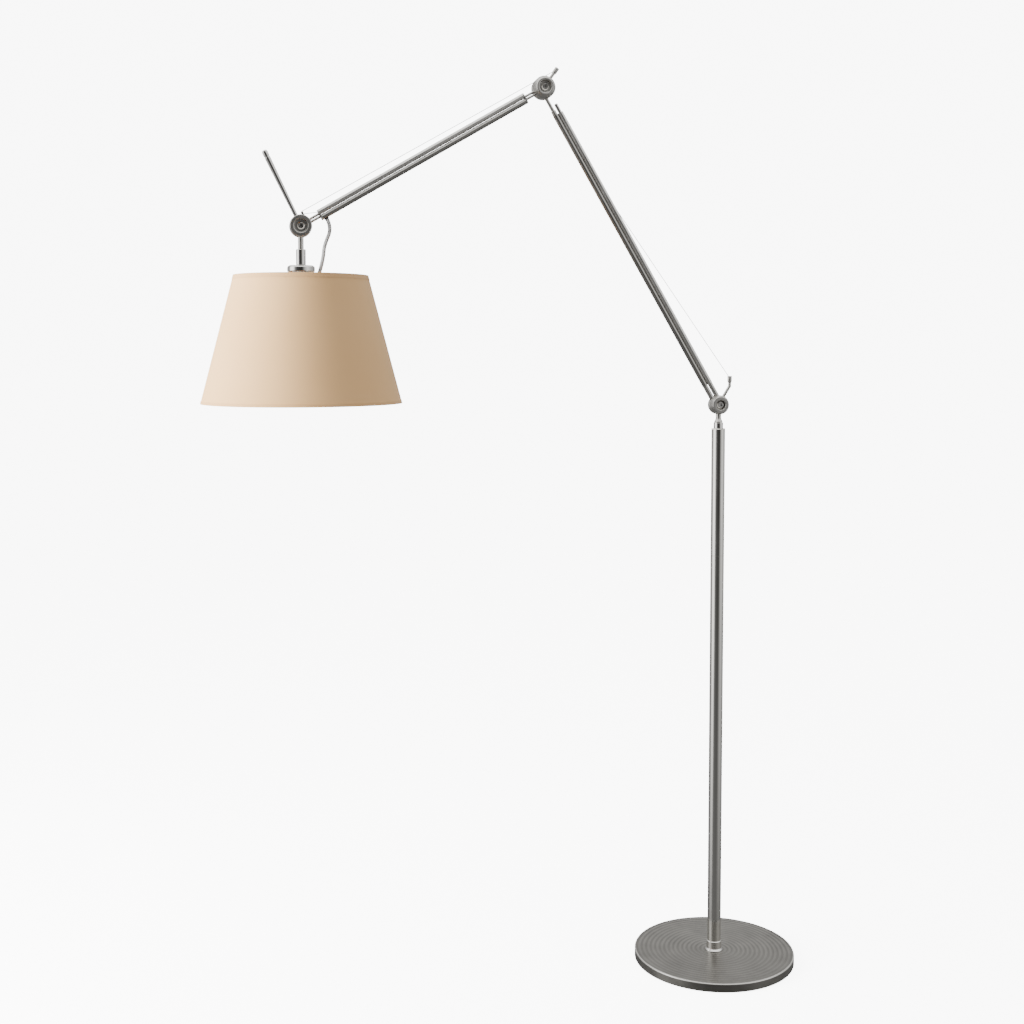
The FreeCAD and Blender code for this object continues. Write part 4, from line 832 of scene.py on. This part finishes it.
sleeve = {"collar": [(5.65, 44.5), (8.4, 44.5), (9.4, 45.5), (9.4, 74), (5.65, 74)],
          "washer": [(5.05, 74), (9.4, 74), (9.4, 75.5), (5.05, 75.5)]}
cap = {"profile": [(5.05, 75.5), (22.6, 75.5), (25.8, 77.9), (26.6, 79.7), (26.6, 86.8), (25.4, 88),
                   (5.05, 88)]}
holder = {"body": [(5.05, 91.6), (11.4, 91.6), (19, 101.6), (19, 145.6), (13.3, 145.6), (13.3, 119.6),
                   (5.05, 119.6)],
          "ring": [(19.05, 129.6), (23, 129.6), (23, 134.6), (19.05, 134.6)]}
# The bulb's neck, then its ball, which starts where the neck meets it.
bulb = {"neck": [(0, 145.6), (13, 145.6), (14, 149), (15, 153.6), (17.5, 162), (21.5, 172), (24.6, 182.5)],
        "radius": 30, "centre": 199.6, "start": -34.8, "steps": 16}


def makeHeadFittings():
    newPiece("neck_collar", [spun(sleeve["collar"], headDown, 64, 0.3, True)], buffedNickel, "head",
             ["neck_sleeve"])
    newPiece("neck_washer", [spun(sleeve["washer"], headDown, 64, 0.3, True)], zincPlate, "head",
             ["cap_washer"])
    newPiece("cap_turned", [spun(cap["profile"], headDown, 96, 0.5, True)], buffedNickel, "head",
             ["shade_cap"])
    newPiece("holder_body", [spun(holder["body"], headDown, 80, 0.6, True)], whiteHolder, "head",
             ["lampholder"])
    newPiece("holder_ring", [spun(holder["ring"], headDown, 80, 0.5, True)], whiteHolder, "head",
             ["lampholder_ring"])
    glass = list(bulb["neck"])
    for step in range(1, bulb["steps"] + 1):
        angle = math.radians(bulb["start"] + (90 - bulb["start"]) * step / bulb["steps"])
        glass.append((bulb["radius"] * math.cos(angle), bulb["centre"] + bulb["radius"] * math.sin(angle)))
    newPiece("bulb_envelope", [spun(glass, headDown, 80, 0)], opalGlass, "head", ["bulb_glass"])


makeShade()
makeShadeWires()
makeHeadFittings()
print("head made")

# Studio

studio = {
    "floorSize": 120, "floorGlow": 7.4, "backdrop": 8.8, "keyPower": 330, "keyPlace": (-3.2, -0.45, 1.6),
    "room": 4.0,  # what a room value of 1 stands for
    # degrees round from the front, negative to the left, and how bright the room is there
    "walls": ((-180, 0.12), (-140, 0.14), (-110, 0.16), (-98, 0.92), (-72, 0.92), (-54, 0.1), (-36, 0.025),
              (0, 0.008), (14, 0.03), (30, 0.17), (56, 0.36), (86, 0.2), (123, 0.12), (180, 0.12)),
    "ceiling": 0.5, "below": 0.05,
}


def makeFloor():
    floor = bmesh.new()
    bmesh.ops.create_grid(floor, x_segments=2, y_segments=2, size=studio["floorSize"] / 2)
    mesh = bpy.data.meshes.new("studio_floor")
    floor.to_mesh(mesh)
    floor.free()
    matt, tree, shader = newMaterial("paintedFloor", {
        "Base Color": linear("#F4F4F3"), "Roughness": 0.9, "Specular IOR Level": 0.0,
        "Emission Color": (1, 1, 1, 1), "Emission Strength": studio["floorGlow"]})
    mesh.materials.append(matt)
    obj = bpy.data.objects.new("studio_floor", mesh)
    bpy.context.scene.collection.objects.link(obj)
    obj.visible_glossy = False
    obj.visible_diffuse = False


def makeRoom():
    # A white backdrop; reflections show a room with a soft window at the left, a dark front,
    # a grey right side, a pale ceiling and a dim floor.
    world = bpy.data.worlds.new("studio")
    world.use_nodes = True
    bpy.context.scene.world = world
    tree = world.node_tree
    coords = addNode(tree, "ShaderNodeTexCoord")
    split = addNode(tree, "ShaderNodeSeparateXYZ", {}, {"Vector": (coords, "Generated")})
    front = addNode(tree, "ShaderNodeMath", {"operation": "MULTIPLY", 1: -1.0}, {0: (split, "Y")})
    angle = addNode(tree, "ShaderNodeMath", {"operation": "ARCTAN2"}, {0: (split, "X"), 1: (front, 0)})
    share = addNode(tree, "ShaderNodeMapRange", {"From Min": -math.pi, "From Max": math.pi},
                    {"Value": (angle, 0)})
    walls = addNode(tree, "ShaderNodeValToRGB", {}, {"Fac": (share, "Result")})
    stops = walls.color_ramp.elements
    while len(stops) < len(studio["walls"]):
        stops.new(0.5)
    for stop, (degrees, value) in zip(stops, studio["walls"]):
        stop.position = degrees / 360 + 0.5
        stop.color = (value, value, value, 1)
    up = addNode(tree, "ShaderNodeMapRange", {"From Min": 0.35, "From Max": 0.75}, {"Value": (split, "Z")})
    down = addNode(tree, "ShaderNodeMapRange", {"From Min": -0.08, "From Max": -0.4}, {"Value": (split, "Z")})
    grey = {name: (studio[name],) * 3 + (1,) for name in ("ceiling", "below")}
    upper = addNode(tree, "ShaderNodeMix", {"data_type": "RGBA", 7: grey["ceiling"]},
                    {0: (up, "Result"), 6: (walls, "Color")})
    whole = addNode(tree, "ShaderNodeMix", {"data_type": "RGBA", 7: grey["below"]},
                    {0: (down, "Result"), 6: (upper, 2)})
    sky = tree.nodes["Background"]
    sky.inputs["Strength"].default_value = studio["room"]
    tree.links.new(whole.outputs[2], sky.inputs["Color"])
    paper = addNode(tree, "ShaderNodeBackground", {"Strength": studio["backdrop"]})
    paper.inputs["Color"].default_value = (1, 1, 1, 1)
    path = addNode(tree, "ShaderNodeLightPath")
    seen = addNode(tree, "ShaderNodeMixShader", {}, {0: (path, "Is Camera Ray"), 1: (sky, 0), 2: (paper, 0)})
    tree.links.new(seen.outputs[0], tree.nodes["World Output"].inputs["Surface"])


def makeLight(name, place, size, power, aim=(-0.5, 0, 1.2)):
    light = bpy.data.lights.new(name, "AREA")
    light.shape = "RECTANGLE"
    light.size, light.size_y = size
    light.energy = power
    lamp = bpy.data.objects.new(name, light)
    lamp.location = place
    lamp.rotation_euler = (Vector(place) - Vector(aim)).to_track_quat("Z", "Y").to_euler()
    lamp.visible_glossy = False
    bpy.context.scene.collection.objects.link(lamp)


makeFloor()
makeRoom()
makeLight("key", studio["keyPlace"], (1.6, 2.0), studio["keyPower"])
print("studio made")
